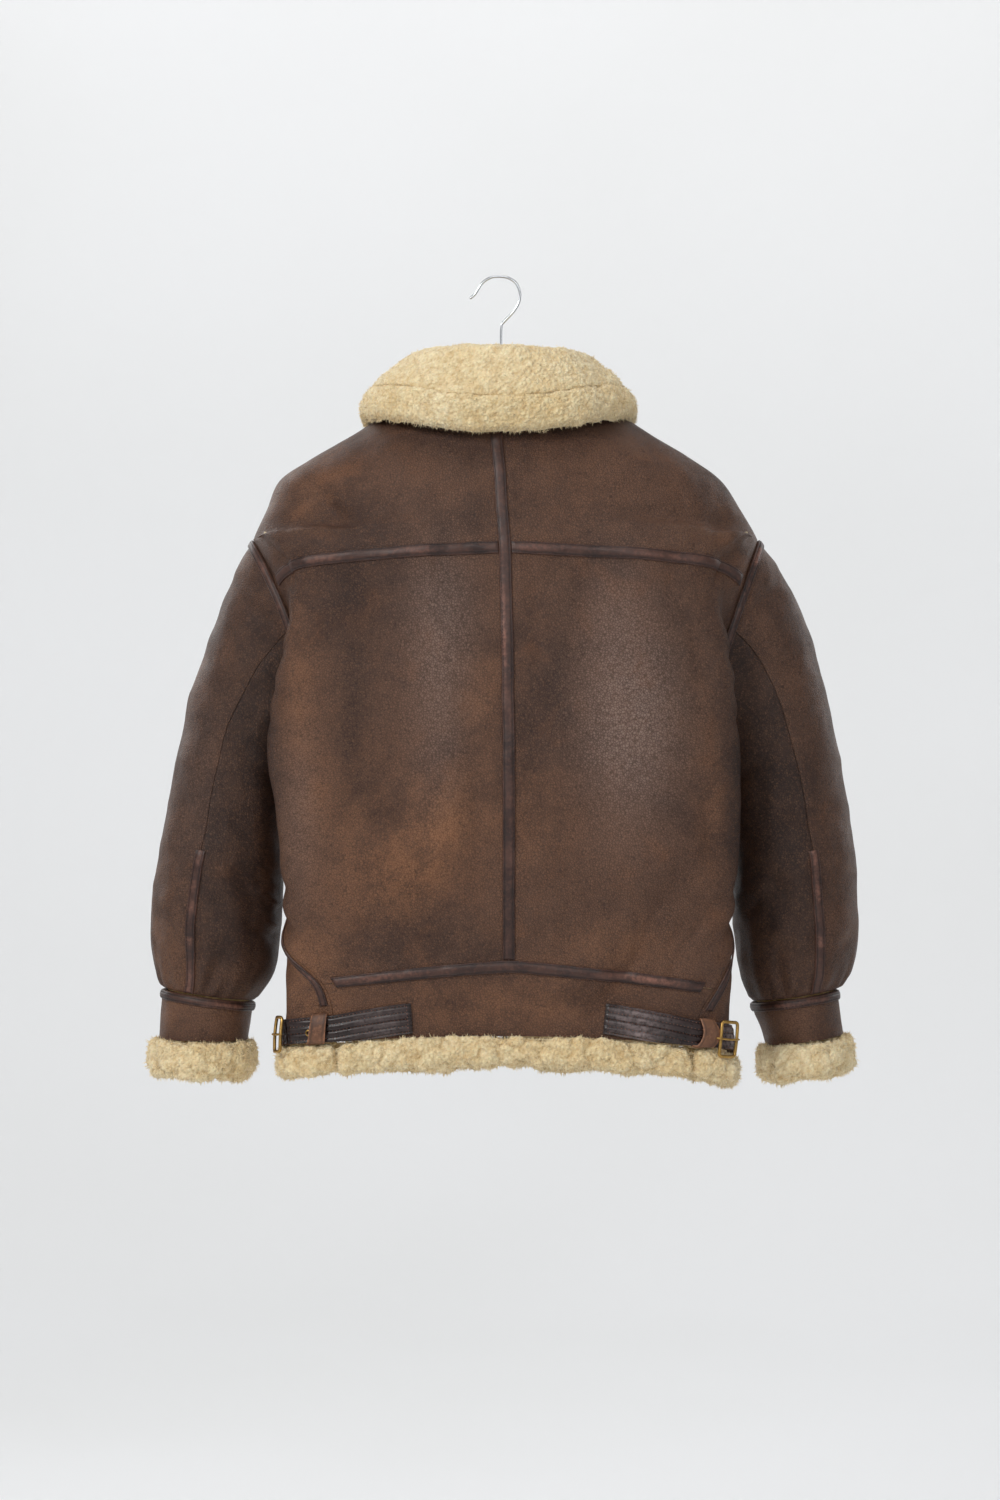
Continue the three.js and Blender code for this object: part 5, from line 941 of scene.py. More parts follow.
def ribbon(name, node, surf, U, V, wide, along, mat, slot, rise, thick, rows, crown=0.5, rib=0.0, key="thread", wear_and_sheen=None, ends=(1.5, 1.5), box=(False, False), sheet=True, across_n=None, pitch=3.4):
    """A flat strip on a surface (or several, joined in order): U, V its centre line, rows its stitch lines in mm from the middle."""
    surfs = surf if isinstance(surf, list) else [surf] * len(U)
    half = wide / 2
    n_in = across_n or 12
    xs = np.concatenate([[-half, -half + 0.25, -half + 0.9], np.linspace(-half + 1.6, half - 1.6, n_in), [half - 0.9, half - 0.25, half]])
    groups, start = [], 0
    for i in range(1, len(U) + 1):
        if i == len(U) or surfs[i] is not surfs[start]:
            groups.append((start, i))
            start = i
    B, Nn = [], []
    for a, b in groups:
        sf = surfs[a]
        u, v = np.asarray(U[a:b], float)[:, None], np.asarray(V[a:b], float)[:, None]
        off = np.broadcast_to(xs[None, :], (b - a, len(xs)))
        if along == "v":
            uu = sf.go(u + 0 * off, v + 0 * off, off, "u")
            vv = v + 0 * off
        else:
            vv = sf.go(u + 0 * off, v + 0 * off, off, "v")
            uu = u + 0 * off
        B.append(sf.at(uu, vv))
        Nn.append(sf.normal(uu, vv))
    B, Nn = np.concatenate(B), np.concatenate(Nn)
    n = len(B)
    step = np.concatenate([[0], np.cumsum(np.linalg.norm(np.diff(B[:, len(xs) // 2], axis=0), axis=1))])
    total = step[-1]
    end = np.minimum(smooth(step, -0.01, ends[0]) + (step > 0) * 0.0, smooth(total - step, -0.01, ends[1]))
    r = rise(step / total) if callable(rise) else np.full(n, rise)
    edge = np.clip((half - np.abs(xs)) / 0.9, 0, 1)
    prof = np.sqrt(np.clip(1 - (1 - edge) ** 2, 0, 1))
    bulge = crown * np.cos(np.clip(np.abs(xs) / half, 0, 1) * math.pi / 2)
    groove = np.zeros(len(xs))
    for x in rows:
        groove = np.maximum(groove, np.exp(-((xs - x) / 0.75) ** 2))
    if rib:
        for a, b in zip(rows[:-1], rows[1:]):
            inside = (xs > a) & (xs < b)
            bulge = bulge + rib * np.where(inside, np.sin(np.pi * np.clip((xs - a) / (b - a), 0, 1)) ** 0.8, 0)
    wave = (0.16 * noise(B, 7, 81) + 0.22 * noise(B, 16, 82)) * (0.45 if rib else 1.0)
    top = r[:, None] + (thick * 0.62 + bulge - 0.55 * groove + wave) * prof[None, :] * (0.25 + 0.75 * end[:, None]) + 0.3
    top = np.maximum(top, r[:, None] + 0.35)
    low = r[:, None] * np.ones_like(xs)[None, :]
    O = B + Nn * top[..., None]
    L = B + Nn * low[..., None]
    m = len(xs)
    o = np.arange(n * m).reshape(n, m)
    q = o + n * m
    Q = [np.stack([o[:-1, :-1], o[1:, :-1], o[1:, 1:], o[:-1, 1:]], -1).reshape(-1, 4)]
    cols = [0, m // 2, m - 1]
    Q.append(np.stack([o[1:, 0], o[:-1, 0], q[:-1, 0], q[1:, 0]], -1))
    Q.append(np.stack([o[:-1, -1], o[1:, -1], q[1:, -1], q[:-1, -1]], -1))
    faces = np.concatenate(Q).tolist()
    faces += np.stack([q[:-1, -1], q[1:, -1], q[1:, 0], q[:-1, 0]], -1).tolist()
    faces.append([int(x) for x in o[0, :]] + [int(q[0, -1]), int(q[0, 0])])
    faces.append([int(x) for x in o[-1, ::-1]] + [int(q[-1, 0]), int(q[-1, -1])])
    # faces turned so that the top looks along its normal
    a, b, c = O[n // 2, m // 2], O[n // 2 + 1, m // 2], O[n // 2, m // 2 + 1]
    if np.dot(np.cross(b - a, c - a), Nn[n // 2, m // 2]) < 0:
        faces = [f[::-1] for f in faces]
    V_all = np.concatenate([O.reshape(-1, 3), L.reshape(-1, 3)])
    used = np.zeros(len(V_all), bool)
    g2 = np.broadcast_to(groove[None, :] * 0.85, (n, m)).copy()
    for flag, at in zip(box, (3.0, total - 3.0)):
        if flag:
            g2 = np.maximum(g2, 0.85 * np.exp(-((step - at) / 0.8) ** 2)[:, None] * (np.abs(xs) < half - 1))
    w2 = np.zeros((n, m))
    if wear_and_sheen is not None:
        w2 = np.clip(wear_and_sheen(O, step, xs), 0, 1)
    edge_worn = 0.35 * (1 - prof)[None, :] * (0.5 + 0.5 * noise(O, 14, 84))
    w2 = np.clip(w2 + np.maximum(edge_worn, 0), 0, 1)
    attrs = dict(groove=np.concatenate([g2.ravel(), np.zeros(n * m)]), wear_and_sheen=np.concatenate([w2.ravel(), np.zeros(n * m)]))
    # drop the unused bottom points
    F = [list(map(int, f)) for f in faces]
    for f in F:
        used[f] = True
    keep = np.flatnonzero(used)
    remap = -np.ones(len(V_all), int)
    remap[keep] = np.arange(len(keep))
    F = [[int(remap[i]) for i in f] for f in F]
    ob = build(name, V_all[keep], F, [mat], attrs={k: v[keep] for k, v in attrs.items()}, sharp=55)
    ready(ob, slot, *([node] if node else []))
    for x in rows:
        k = int(np.argmin(np.abs(xs - x)))
        lo, hi = (3 if box[0] else 1), (3 if box[1] else 1)
        i0, i1 = int(np.searchsorted(step, lo)), int(np.searchsorted(step, total - hi))
        stitches(O[i0:i1, k], Nn[i0:i1, k], key, pitch=pitch, thick=0.55 if key == "strap" else 0.42)
    for flag, at in zip(box, (3.0, total - 3.0)):
        if flag:
            i = int(np.searchsorted(step, at))
            stitches(O[i, 3:-3], Nn[i, 3:-3], key, pitch=pitch)
    if sheet:
        FLATS[node or name] = (wide / 1000, total / 1000, wide * total / 1e6)
    return ob


def line(a, b, mm, surf, fixed, along):
    """Places from a to b about 2.2 mm apart."""
    t = np.linspace(a, b, 60)
    P = surf.at(np.full(60, fixed), t) if along == "v" else surf.at(t, np.full(60, fixed))
    size = np.linalg.norm(np.diff(P, axis=0), axis=1).sum()
    return np.linspace(a, b, max(8, int(size / mm)))


EDGE_ROWS = lambda w: [-w / 2 + 1.9, w / 2 - 1.9]
vs = line(R["collar"] + 0.6, RB - 0.24, 2.2, BACK, 0.0, "v")


def centre_sheen_and_wear(P, step, xs):
    # a painted highlight along the taping's left edge below the yoke, with some rubbing scattered along it
    z = P[..., 2]
    return 0.75 * np.exp(-((z + 372) / 60) ** 2) * np.exp(-((xs[None, :] + 3.2) / 2.0) ** 2) + 0.12 * np.clip(noise(P, (6, 6, 30), 85), 0, 1)


ribbon("strip_centre_back_cloth", "strip_centre_back", BACK, np.zeros(len(vs)), vs, STRIP_W, "v", M["trim"], "trim", STRIP_RISE, STRIP_T, EDGE_ROWS(STRIP_W), 0.7, wear_and_sheen=centre_sheen_and_wear)
rub = lambda seed, amt: (lambda P, step, xs: amt * np.clip(noise(P, (30, 30, 12), seed) * 1.6 - 0.2, 0, 1) * np.exp(-((xs[None, :]) / 3.4) ** 2))
for s in "LR":
    sg, w = SG[s], WORD[s]
    a = float(BACK.go(0.0, float(RY), np.array(sg * (STRIP_W / 2 + 0.6)), "u"))
    us = line(a, sg * 0.975, 2.2, BACK, float(RY), "u")
    ribbon(f"strip_yoke_{w}_cloth", f"strip_yoke_{w}", BACK, us, np.full(len(us), float(RY)), STRIP_W, "u", M["trim"], "trim", STRIP_RISE, STRIP_T, EDGE_ROWS(STRIP_W), 0.7, wear_and_sheen=rub(86, 0.35))
us = line(-0.94, 0.94, 2.2, BACK, float(RB), "u")
# painted highlight on the hem taping, at two places across the back
painted_hem_shine = lambda P, step, xs: (0.9 * np.exp(-((P[..., 0] - 150) / 32) ** 2) + 0.5 * np.exp(-((P[..., 0] + 120) / 40) ** 2)) * np.exp(-((xs[None, :] + 1.0) / 2.6) ** 2)
ribbon("strip_hem_back_cloth", "strip_hem_back", BACK, us, np.full(len(us), float(RB)), STRIP_W, "u", M["trim"], "trim", STRIP_RISE, STRIP_T, EDGE_ROWS(STRIP_W), 0.8, wear_and_sheen=painted_hem_shine)
for s in "LR":
    sg, w, fl = SG[s], WORD[s], FRONT[s]
    top = float(fl.go(0.0, BELT, np.array(-STRAP_W / 2 - 3), "v"))
    vs = line(R["under"] + 1, top, 2.4, fl, 0.02, "v")
    u0 = fl.go(np.zeros(len(vs)), vs, np.full(len(vs), 0.6 + SIDE_STRIP_W / 2), "u")
    ribbon(f"strip_side_{w}_cloth", f"strip_side_{w}", fl, u0, vs, SIDE_STRIP_W, "v", M["trim"], "trim", STRIP_RISE, STRIP_T, EDGE_ROWS(SIDE_STRIP_W), 0.5, wear_and_sheen=rub(87, 0.3))
    sl = SLV[s]
    a0 = np.interp(4.7, np.arange(len(SLEEVE_PHI)), SLEEVE_PHI)
    phis = np.linspace(-a0, a0, 110)
    v0 = sl.go(phis, np.zeros(len(phis)), np.full(len(phis), 1.2 + ARM_STRIP_W / 2), "v")
    ribbon(f"strip_armhole_{w}_cloth", f"strip_armhole_{w}", sl, phis, v0, ARM_STRIP_W, "u", M["trim"], "trim", STRIP_RISE, STRIP_T, EDGE_ROWS(ARM_STRIP_W), 0.7, wear_and_sheen=rub(88, 0.8))
    vs = line(7.2, 11.92, 2.4, sl, SEAM_BACK, "v")
    ribbon(f"strip_sleeve_{w}_cloth", f"strip_sleeve_{w}", sl, np.full(len(vs), SEAM_BACK), vs, STRIP_W - 2, "v", M["trim"], "trim", STRIP_RISE, STRIP_T, EDGE_ROWS(STRIP_W - 2), 0.6, wear_and_sheen=rub(89, 0.6))
    cu = CUF[s]
    phis = np.linspace(0, 359.2, 150)
    v0 = cu.go(phis, np.zeros(len(phis)), np.full(len(phis), 0.8 + CUFF_STRIP_W / 2), "v")
    ribbon(f"strip_cuff_{w}_cloth", f"strip_cuff_{w}", cu, phis, v0, CUFF_STRIP_W, "u", M["trim"], "trim", STRIP_RISE, STRIP_T, EDGE_ROWS(CUFF_STRIP_W), 0.8, wear_and_sheen=rub(90, 0.7), ends=(0.2, 0.2))

# ---- straps, keepers, buckles -----------------------------------------------------------------------
ADJUST = {"L": dict(start=4.1, keeper=(8.15, 8.95), buckle=2.25), "R": dict(start=3.75, keeper=(7.6, 8.5), buckle=0.9)}
STRAP_ROWS = [-13.7, -6.9, 0.0, 6.9, 13.7]
SLANT = {"L": 8.0, "R": 9.0}


def slant(side, u, on_front):
    """How far down the strap lies from the CAD's row there, in mm."""
    c0 = float(np.interp(ADJUST[side]["start"], range(NB + 1), BACK_COLS))
    u = np.abs(np.asarray(u, float))
    if on_front:
        return SLANT[side] * (1 - smooth(u, 3.0 / NF, 7.4 / NF))
    return SLANT[side] * np.clip((u - c0) / (1 - c0), 0, 1) ** 1.15


def belt(side, u, on_front):
    sf = FRONT[side] if on_front else BACK
    u = np.atleast_1d(np.asarray(u, float))
    return sf.go(u, np.full(len(u), BELT), slant(side, u, on_front), "v")
seat = {}
for s in "LR":
    sg, w, fl, ad = SG[s], WORD[s], FRONT[s], ADJUST[s]
    c0 = float(np.interp(ad["start"], range(NB + 1), BACK_COLS))
    ub = line(sg * c0, sg * 1.0, 2.2, BACK, BELT, "u")
    uf = line(0.0, ad["buckle"] / NF, 2.2, fl, BELT, "u")[1:] if ad["buckle"] > 0.3 else []
    U = np.concatenate([ub, uf])
    surfs = [BACK] * len(ub) + [fl] * len(uf)
    lift = lambda t: STRAP_RISE + (STRAP_LIFT - STRAP_RISE) * np.minimum(t * 2, 1)
    # painted sheen on the straps: a broad pale band near the start, strong on the right one
    painted_strap_sheen = lambda P, step, xs: (1.0 if s == "R" else 0.3) * np.exp(-((step[:, None] - 34) / 24) ** 2) * (0.4 + 0.6 * np.abs(np.sin(xs[None, :] / 6.9 * math.pi))) * (0.6 + 0.4 * noise(P, 9, 95))
    VB = np.concatenate([belt(s, ub, False), belt(s, uf, True)]) if len(uf) else belt(s, ub, False)
    ribbon(f"strap_{w}_cloth", f"strap_{w}", surfs, U, VB, STRAP_W, "u", M["strap"], "strap", lift, STRAP_T, STRAP_ROWS, 0.3, rib=0.9, key="strap", wear_and_sheen=painted_strap_sheen, box=(True, False), across_n=41, pitch=3.8)
    ga = float(fl.go(ad["buckle"] / NF, BELT, np.array(1.5), "u"))
    uf = line(ga, 7.4 / NF, 2.2, fl, BELT, "u")
    down = lambda t: STRAP_LIFT + (STRAP_RISE - STRAP_LIFT) * np.minimum(t * 2, 1)
    ribbon(f"front_strap_{w}_cloth", f"front_strap_{w}", fl, uf, belt(s, uf, True), STRAP_W, "u", M["strap"], "strap", down, STRAP_T, STRAP_ROWS, 0.3, rib=0.9, key="strap", wear_and_sheen=painted_strap_sheen, box=(False, True), across_n=41, pitch=3.8)
    # keeper: a leather loop round the strap
    k0, k1 = (float(np.interp(k, range(NB + 1), BACK_COLS)) * sg for k in ad["keeper"])
    loop = []
    top_h, low_h = STRAP_LIFT + STRAP_T + 2.6, 0.5
    shift = {"L": 15.0, "R": 17.0}[s]      # towards the side, as in the photograph
    for du in np.linspace(-4.2, 4.2, 13):
        ring = []
        for k in range(56):
            a = k / 56 * 2 * math.pi
            x = np.sign(math.cos(a)) * abs(math.cos(a)) ** 0.62 * (STRAP_W / 2 + 2.4)
            h = (top_h + low_h) / 2 + np.sign(math.sin(a)) * abs(math.sin(a)) ** 0.7 * (top_h - low_h) / 2
            lean = 0.1 * x if s == "L" else 4.5 * max(0.0, math.sin(a)) * (1 - (x / 20) ** 2) - 0.06 * x
            uc = (k0 + k1) / 2
            over = float(np.linalg.norm(BACK.at(sg * 0.999, BELT) - BACK.at(uc, BELT)))
            want = du + shift + lean
            if want < over:
                sf, uu = BACK, float(BACK.go(uc, BELT, np.array(sg * want), "u"))
            else:      # past the side seam it lies on the front panel
                sf, uu = fl, float(fl.go(0.0, BELT, np.array(want - over), "u"))
            v0 = float(belt(s, uu, sf is fl)[0])
            cx = float(np.clip(x, -STRAP_W / 2 - 1, STRAP_W / 2 + 1))
            vv = min(float(sf.go(uu, v0, np.array(cx), "v")), RH - 0.003)
            Q, NN = sf.at(uu, vv), sf.normal(uu, vv)
            up = unit(sf.at(uu, vv) - sf.at(uu, vv - 0.05))
            extra = 2.4 * max(0.0, math.sin(a)) * (1 - (x / 19) ** 2)
            ring.append(Q + up * (x - cx) + NN * (h + extra))
        loop.append(ring)
    loop = np.array(loop)
    mid = loop.mean(1, keepdims=True)
    n_k, m_k = loop.shape[:2]
    nr = unit(np.cross(np.roll(loop, -1, 1) - np.roll(loop, 1, 1), np.gradient(loop, axis=0)))
    if ((loop - mid) * nr).sum(-1).mean() < 0:
        nr = -nr
    t = np.linspace(-1, 1, n_k)
    outer = loop + nr * (0.9 * np.sqrt(np.clip(1 - t ** 6, 0, 1)))[:, None, None]
    inner = loop - nr * 0.6
    V = np.concatenate([outer.reshape(-1, 3), inner.reshape(-1, 3)])
    o = np.arange(n_k * m_k).reshape(n_k, m_k)
    i2 = o + n_k * m_k
    F = []
    for i in range(n_k - 1):
        for k in range(m_k):
            l = (k + 1) % m_k
            F.append([o[i, k], o[i, l], o[i + 1, l], o[i + 1, k]])
            F.append([i2[i + 1, k], i2[i + 1, l], i2[i, l], i2[i, k]])
    for k in range(m_k):
        l = (k + 1) % m_k
        F.append([o[0, l], o[0, k], i2[0, k], i2[0, l]])
        F.append([o[-1, k], o[-1, l], i2[-1, l], i2[-1, k]])
    F = [[int(x) for x in f] for f in F]
    a, b, c = V[F[0][0]], V[F[0][1]], V[F[0][3]]
    if np.dot(np.cross(b - a, c - a), nr[0, 0]) < 0:
        F = [f[::-1] for f in F]
    gro = np.exp(-((np.abs(t) - 0.72) / 0.1) ** 2)[:, None] * np.ones((1, m_k)) * 0.6
    z0 = np.zeros(n_k * m_k)
    wn = np.broadcast_to((np.abs(t) > 0.9)[:, None] * 0.5, (n_k, m_k))
    ob = build(f"keeper_{w}_cloth", V, F, [M["tan"]], attrs=dict(groove=np.concatenate([gro.ravel(), z0]), wear_and_sheen=np.concatenate([wn.ravel(), z0])), sharp=50)
    ready(ob, "tan", f"keeper_{w}")
    size_k = np.linalg.norm(np.diff(np.concatenate([loop[6], loop[6][:1]]), axis=0), axis=1).sum()
    wide_k = np.linalg.norm(loop[-1, 14] - loop[0, 14])
    FLATS[f"keeper_{w}"] = (wide_k / 1000, size_k / 1000, wide_k * size_k / 1e6)
    # where the buckle sits
    ub = ad["buckle"] / NF
    seat_u = float(fl.go(ub, BELT, np.array({"L": 9.0, "R": 17.0}[s]), "u"))
    ub = seat_u
    bv = float(belt(s, ub, True)[0])
    P, N = fl.at(ub, bv), fl.normal(ub, bv)
    al = unit(fl.at(ub + 0.027, bv) - fl.at(ub - 0.027, bv))
    up = unit(np.cross(N, al))
    up = -up if up[2] < 0 else up
    tang = unit(np.cross(up, N))
    seat[s] = (P, unit(np.cross(tang, up)), tang, up, ub, bv)


def tube(points, radius, sides=14, closed=False, flat=1.0, up=None):
    """Rings round a line of points; returns verts and faces."""
    P = np.asarray(points, float)
    n = len(P)
    T = unit(np.roll(P, -1, 0) - np.roll(P, 1, 0)) if closed else unit(np.gradient(P, axis=0))
    A = np.zeros_like(P)
    ref = np.array(up if up is not None else [0, 1, 0.0])
    A = unit(np.cross(T, ref))
    B = np.cross(T, A)
    r = np.broadcast_to(np.asarray(radius, float), (n,))
    k = np.arange(sides) / sides * 2 * math.pi
    V = P[:, None] + A[:, None] * (np.cos(k)[None, :, None] * r[:, None, None]) + B[:, None] * (np.sin(k)[None, :, None] * r[:, None, None] * flat)
    F = []
    m = n if closed else n - 1
    for i in range(m):
        j = (i + 1) % n
        for q in range(sides):
            p = (q + 1) % sides
            F.append([i * sides + q, i * sides + p, j * sides + p, j * sides + q])
    if not closed:
        F.append([q for q in range(sides)][::-1])
        F.append([(n - 1) * sides + q for q in range(sides)])
    return V.reshape(-1, 3), F


def merge(parts):
    V, F, base = [], [], 0
    for v, f in parts:
        V.append(v)
        F += [[i + base for i in q] for q in f]
        base += len(v)
    return np.concatenate(V), F


def rounded(w, h, r, n=9):
    pts = []
    for sx, sy, a0 in ((1, -1, -0.5), (1, 1, 0), (-1, 1, 0.5), (-1, -1, 1)):
        for k in range(n):
            a = (a0 + k / (n - 1) / 2) * math.pi
            pts.append((sx * (w / 2 - r) + r * math.cos(a), sy * (h / 2 - r) + r * math.sin(a)))
    return np.array(pts)


STRAP_TOP = STRAP_LIFT + STRAP_T
for s in "LR":
    P, N, T, U3, ub, bv = seat[s]
    w = WORD[s]
    way = 1 if np.dot(FRONT[s].at(ub + 0.02, bv) - P, T) > 0 else -1

    def place(q):
        """Points along the strap, up it and off it; the frame is curved to lie along the strap."""
        q = np.asarray(q, float)
        sf = FRONT[s]
        u = sf.go(np.full(len(q), ub), np.full(len(q), bv), way * q[:, 0], "u")
        inner = u < 0.001
        base = sf.at(np.maximum(u, 0), bv)
        nn = sf.normal(np.maximum(u, 0.0), bv)
        flat = P + q[:, :1] * T
        base = np.where(inner[:, None], flat, base)
        nn = np.where(inner[:, None], N, nn)
        soft_n = unit(0.5 * N + 0.5 * nn)
        mixed = 0.25 * flat + 0.75 * base
        return mixed + q[:, 1:2] * U3 + q[:, 2:3] * soft_n
    lift = STRAP_TOP + 3.4
    c = rounded(22 - 3.6, 39 - 3.6, 3.4)
    dense = []
    for i in range(len(c)):
        a, b = c[i], c[(i + 1) % len(c)]
        m = max(1, int(np.linalg.norm(b - a) / 2.0))
        dense += [a + (b - a) * k / m for k in range(m)]
    dense = np.array(dense)
    # the frame bows a little over the strap
    zz = lift + 1.6 - 0.9 * (np.abs(dense[:, 1]) / 17.7) ** 2
    frame_pts = place(np.column_stack([dense, zz]))
    parts = [tube(frame_pts, 1.75, 12, closed=True, up=N)]
    v, f = merge(parts)
    ob = build(f"buckle_{w}_metal", v, f, [M["brass"]])
    ready(ob, "brass", f"buckle_{w}")
    # prong: from its bar across the frame, thickened where it turns round the bar
    t = np.linspace(-1, 1, 26)
    px = t * 12.2
    pz = lift + 4.1 - 0.7 * t ** 2 - 1.0 * smooth(t, 0.75, 1.0)
    v, f = merge([tube(place(np.column_stack([px, 0 * px, pz])), 1.15 - 0.2 * smooth(t, 0.5, 1), 10, up=N),
                  tube(place(np.column_stack([-11.2 + 2.3 * np.cos(np.linspace(0, 2 * math.pi, 19)[:-1]), 0 * np.linspace(0, 1, 18), lift + 1.6 + 2.6 * np.sin(np.linspace(0, 2 * math.pi, 19)[:-1])])), 1.0, 8, closed=True, up=U3)])
    ob = build(f"prong_{w}_metal", v, f, [M["brass"]])
    ready(ob, "brass", f"prong_{w}")
# eyelet: a rolled ring
fl = FRONT["L"]
eu = float(fl.go(0.42 / NF, BELT, np.array(19.0), "u"))
ev = float(belt("L", eu, True)[0])
c, n = fl.at(eu, ev), fl.normal(eu, ev)
a = unit(np.cross(n, [0, 0, 1.0]))
b = np.cross(n, a)
k = np.linspace(0, 2 * math.pi, 41)[:-1, None]
v, f = tube(c + n * (STRAP_TOP + 1.15) + (np.cos(k) * a + np.sin(k) * b) * 2.7, 0.75, 10, closed=True, up=n)
ready(build("eyelet_left_metal", v, f, [M["brass"]]), "brass", "eyelet_left")

# ---- wool ------------------------------------------------------------------------------------------------
COLLAR = [(0.0, 0, -76, -85, 0, -96, -163), (0.3, 34, -71, -85, 50, -95, -162), (0.6, 62, -54, -86, 96, -80, -154),
          (0.85, 84, -25, -89, 130, -45, -148), (1.0, 96, 0, -94, 145, -4, -146), (1.15, 98, 24, -103, 142, 34, -157),
          (1.35, 86, 52, -124, 126, 72, -182), (1.6, 58, 74, -150, 92, 94, -210), (1.84, 28, 84, -174, 52, 108, -232)]
COLLAR_R, COLLAR_T, COLLAR_SKEW, NECK_CLEAR, WALL = 11.0, 12.0, -1.5, 1.2, 8.0


def collar_station(row, side):
    S, fx, fy, fz, tx, ty, tz = row
    sg = SG[side]
    p, q = body_point(0, side, np.array(S)), body_point(1, side, np.array(S))
    rise = unit(p - q)
    flat = unit(np.array([p[0] + 0.001 * sg, p[1] * 1.3, 0]))
    n = unit(flat - rise * np.dot(flat, rise))
    base = p - n * WALL / 2 + rise * NECK_CLEAR
    fold = np.array([sg * fx + COLLAR_SKEW, fy, fz])
    tip = np.array([sg * tx + COLLAR_SKEW, ty, tz])
    out = unit(np.array([tip[0] - base[0], tip[1] - base[1], 0]))
    c = fold - [0, 0, COLLAR_R]
    pts, face = [base], [-n]
    into = c - out * COLLAR_R
    pts.append((base + into) / 2)
    face.append(unit(-n - out))
    for deg in (0, 40, 75, 110, 150):
        a = math.radians(deg)
        d = -out * math.cos(a) + np.array([0, 0, math.sin(a)])
        pts.append(c + d * COLLAR_R)
        face.append(d)
    start, run = pts[-1], tip - pts[-1]
    side3 = unit(np.cross(run, np.cross(out, [0, 0, 1])))
    up = -side3 if side3[2] < 0 else side3
    if np.dot(up, out) < 0:
        up = out
    for t in (0.28, 0.46, 0.64, 0.82, 0.95, 1):
        pts.append(start + run * t + up * 4 * math.sin(math.pi * t))
        face.append(unit(up + out * 0.25))
    return np.array(pts), np.array(face)


stations = [collar_station(r, "L") for r in COLLAR[:0:-1]] + [collar_station(COLLAR[0], "R")] + [collar_station(r, "R") for r in COLLAR[1:]]
CP, CF = np.array([s[0] for s in stations]), np.array([s[1] for s in stations])


def nubs(P, N, size=4.3, high=1.25, wave=1.6, seed=5, long=17.0, clump=0.0, clump_size=20.0):
    """Curls of clipped wool: how far each point moves out, and how deep it lies, which paints shade into the hollows.
    """
    warp = np.stack([noise(P, 9, seed + 61), noise(P, 9, seed + 62), noise(P, 9, seed + 63)], -1) * 0.9
    d1, d2 = worley(P + warp, size, seed)
    e1, _ = worley(P + warp * 2, size * 2.2, seed + 3)
    curl = high * (1 - np.clip(d1 / 0.75, 0, 1.2) ** 2)
    lock = high * 0.8 * (1 - np.clip(e1 / 0.8, 0, 1.2) ** 2)
    roll = wave * noise(P, long, seed + 5) + 0.7 * wave * noise(P, long * 2.4, seed + 6)
    # the cavity mask is painted shade in the hollows between curls and locks
    cavity_shade = smooth(d2 - d1, 0.22, 0.0) * 0.5 + smooth(e1, 0.5, 0.9) * 0.3
    h = curl + lock + roll
    if clump:
        g1, g2 = worley(P + warp * 4, clump_size, seed + 9)
        gap = np.exp(-np.clip(g2 - g1, 0, 1) / 0.12)
        h = h + clump * (1 - np.clip(g1 / 0.8, 0, 1.1) ** 2) - clump * 0.9 * gap
        cavity_shade = cavity_shade + 0.5 * gap
    return h, np.clip(cavity_shade, 0, 1)


TUFTS = []


def tufts(P, N, count, seed, long=(2.2, 4.6), lean=(0, 0, -0.25)):
    """Seeded wisps standing off a wool surface: P, N grids."""
    rng = np.random.default_rng(seed)
    p, n = P.reshape(-1, 3), N.reshape(-1, 3)
    i = rng.integers(0, len(p), count)
    j = rng.normal(0, 0.7, (count, 3))
    c = p[i] + j - n[i] * 0.5
    d = unit(n[i] + rng.normal(0, 0.42, (count, 3)) + np.array(lean))
    L = rng.uniform(long[0], long[1], count)[:, None]
    side = unit(np.cross(d, rng.normal(0, 1, (count, 3))))
    other = np.cross(d, side)
    bend = unit(rng.normal(0, 1, (count, 3))) * L * 0.22
    r = rng.uniform(0.35, 0.7, count)[:, None]
    ring = [c + side * r, c - side * r * 0.5 + other * r * 0.87, c - side * r * 0.5 - other * r * 0.87]
    tip = c + d * L + bend
    V = np.stack(ring + [tip], 1).reshape(-1, 3)
    base = np.arange(count)[:, None, None] * 4
    return V, (base + np.array([[0, 1, 3], [1, 2, 3], [2, 0, 3]])[None]).reshape(-1, 3).tolist()


def fur_piece(name, node, V, F, mats, index, cavity_shade, extra, slot="wool"):
    """Joins a displaced wool body with its wisps."""
    verts, faces, idx, cav = [V], list(F), list(index), [cavity_shade]
    base = len(V)
    for v, f in extra:
        verts.append(v)
        faces += [[i + base for i in q] for q in f]
        idx += [0] * len(f)
        # painted shade at the wisps' roots, none at their tips
        cav.append(np.tile([0.4, 0.4, 0.4, 0.0], len(v) // 4))
        base += len(v)
    ob = build(name, np.concatenate(verts), faces, mats, idx, attrs=dict(cavity_shade=np.concatenate(cav)), sharp=75)
    return ready(ob, slot, *([node] if node else []))


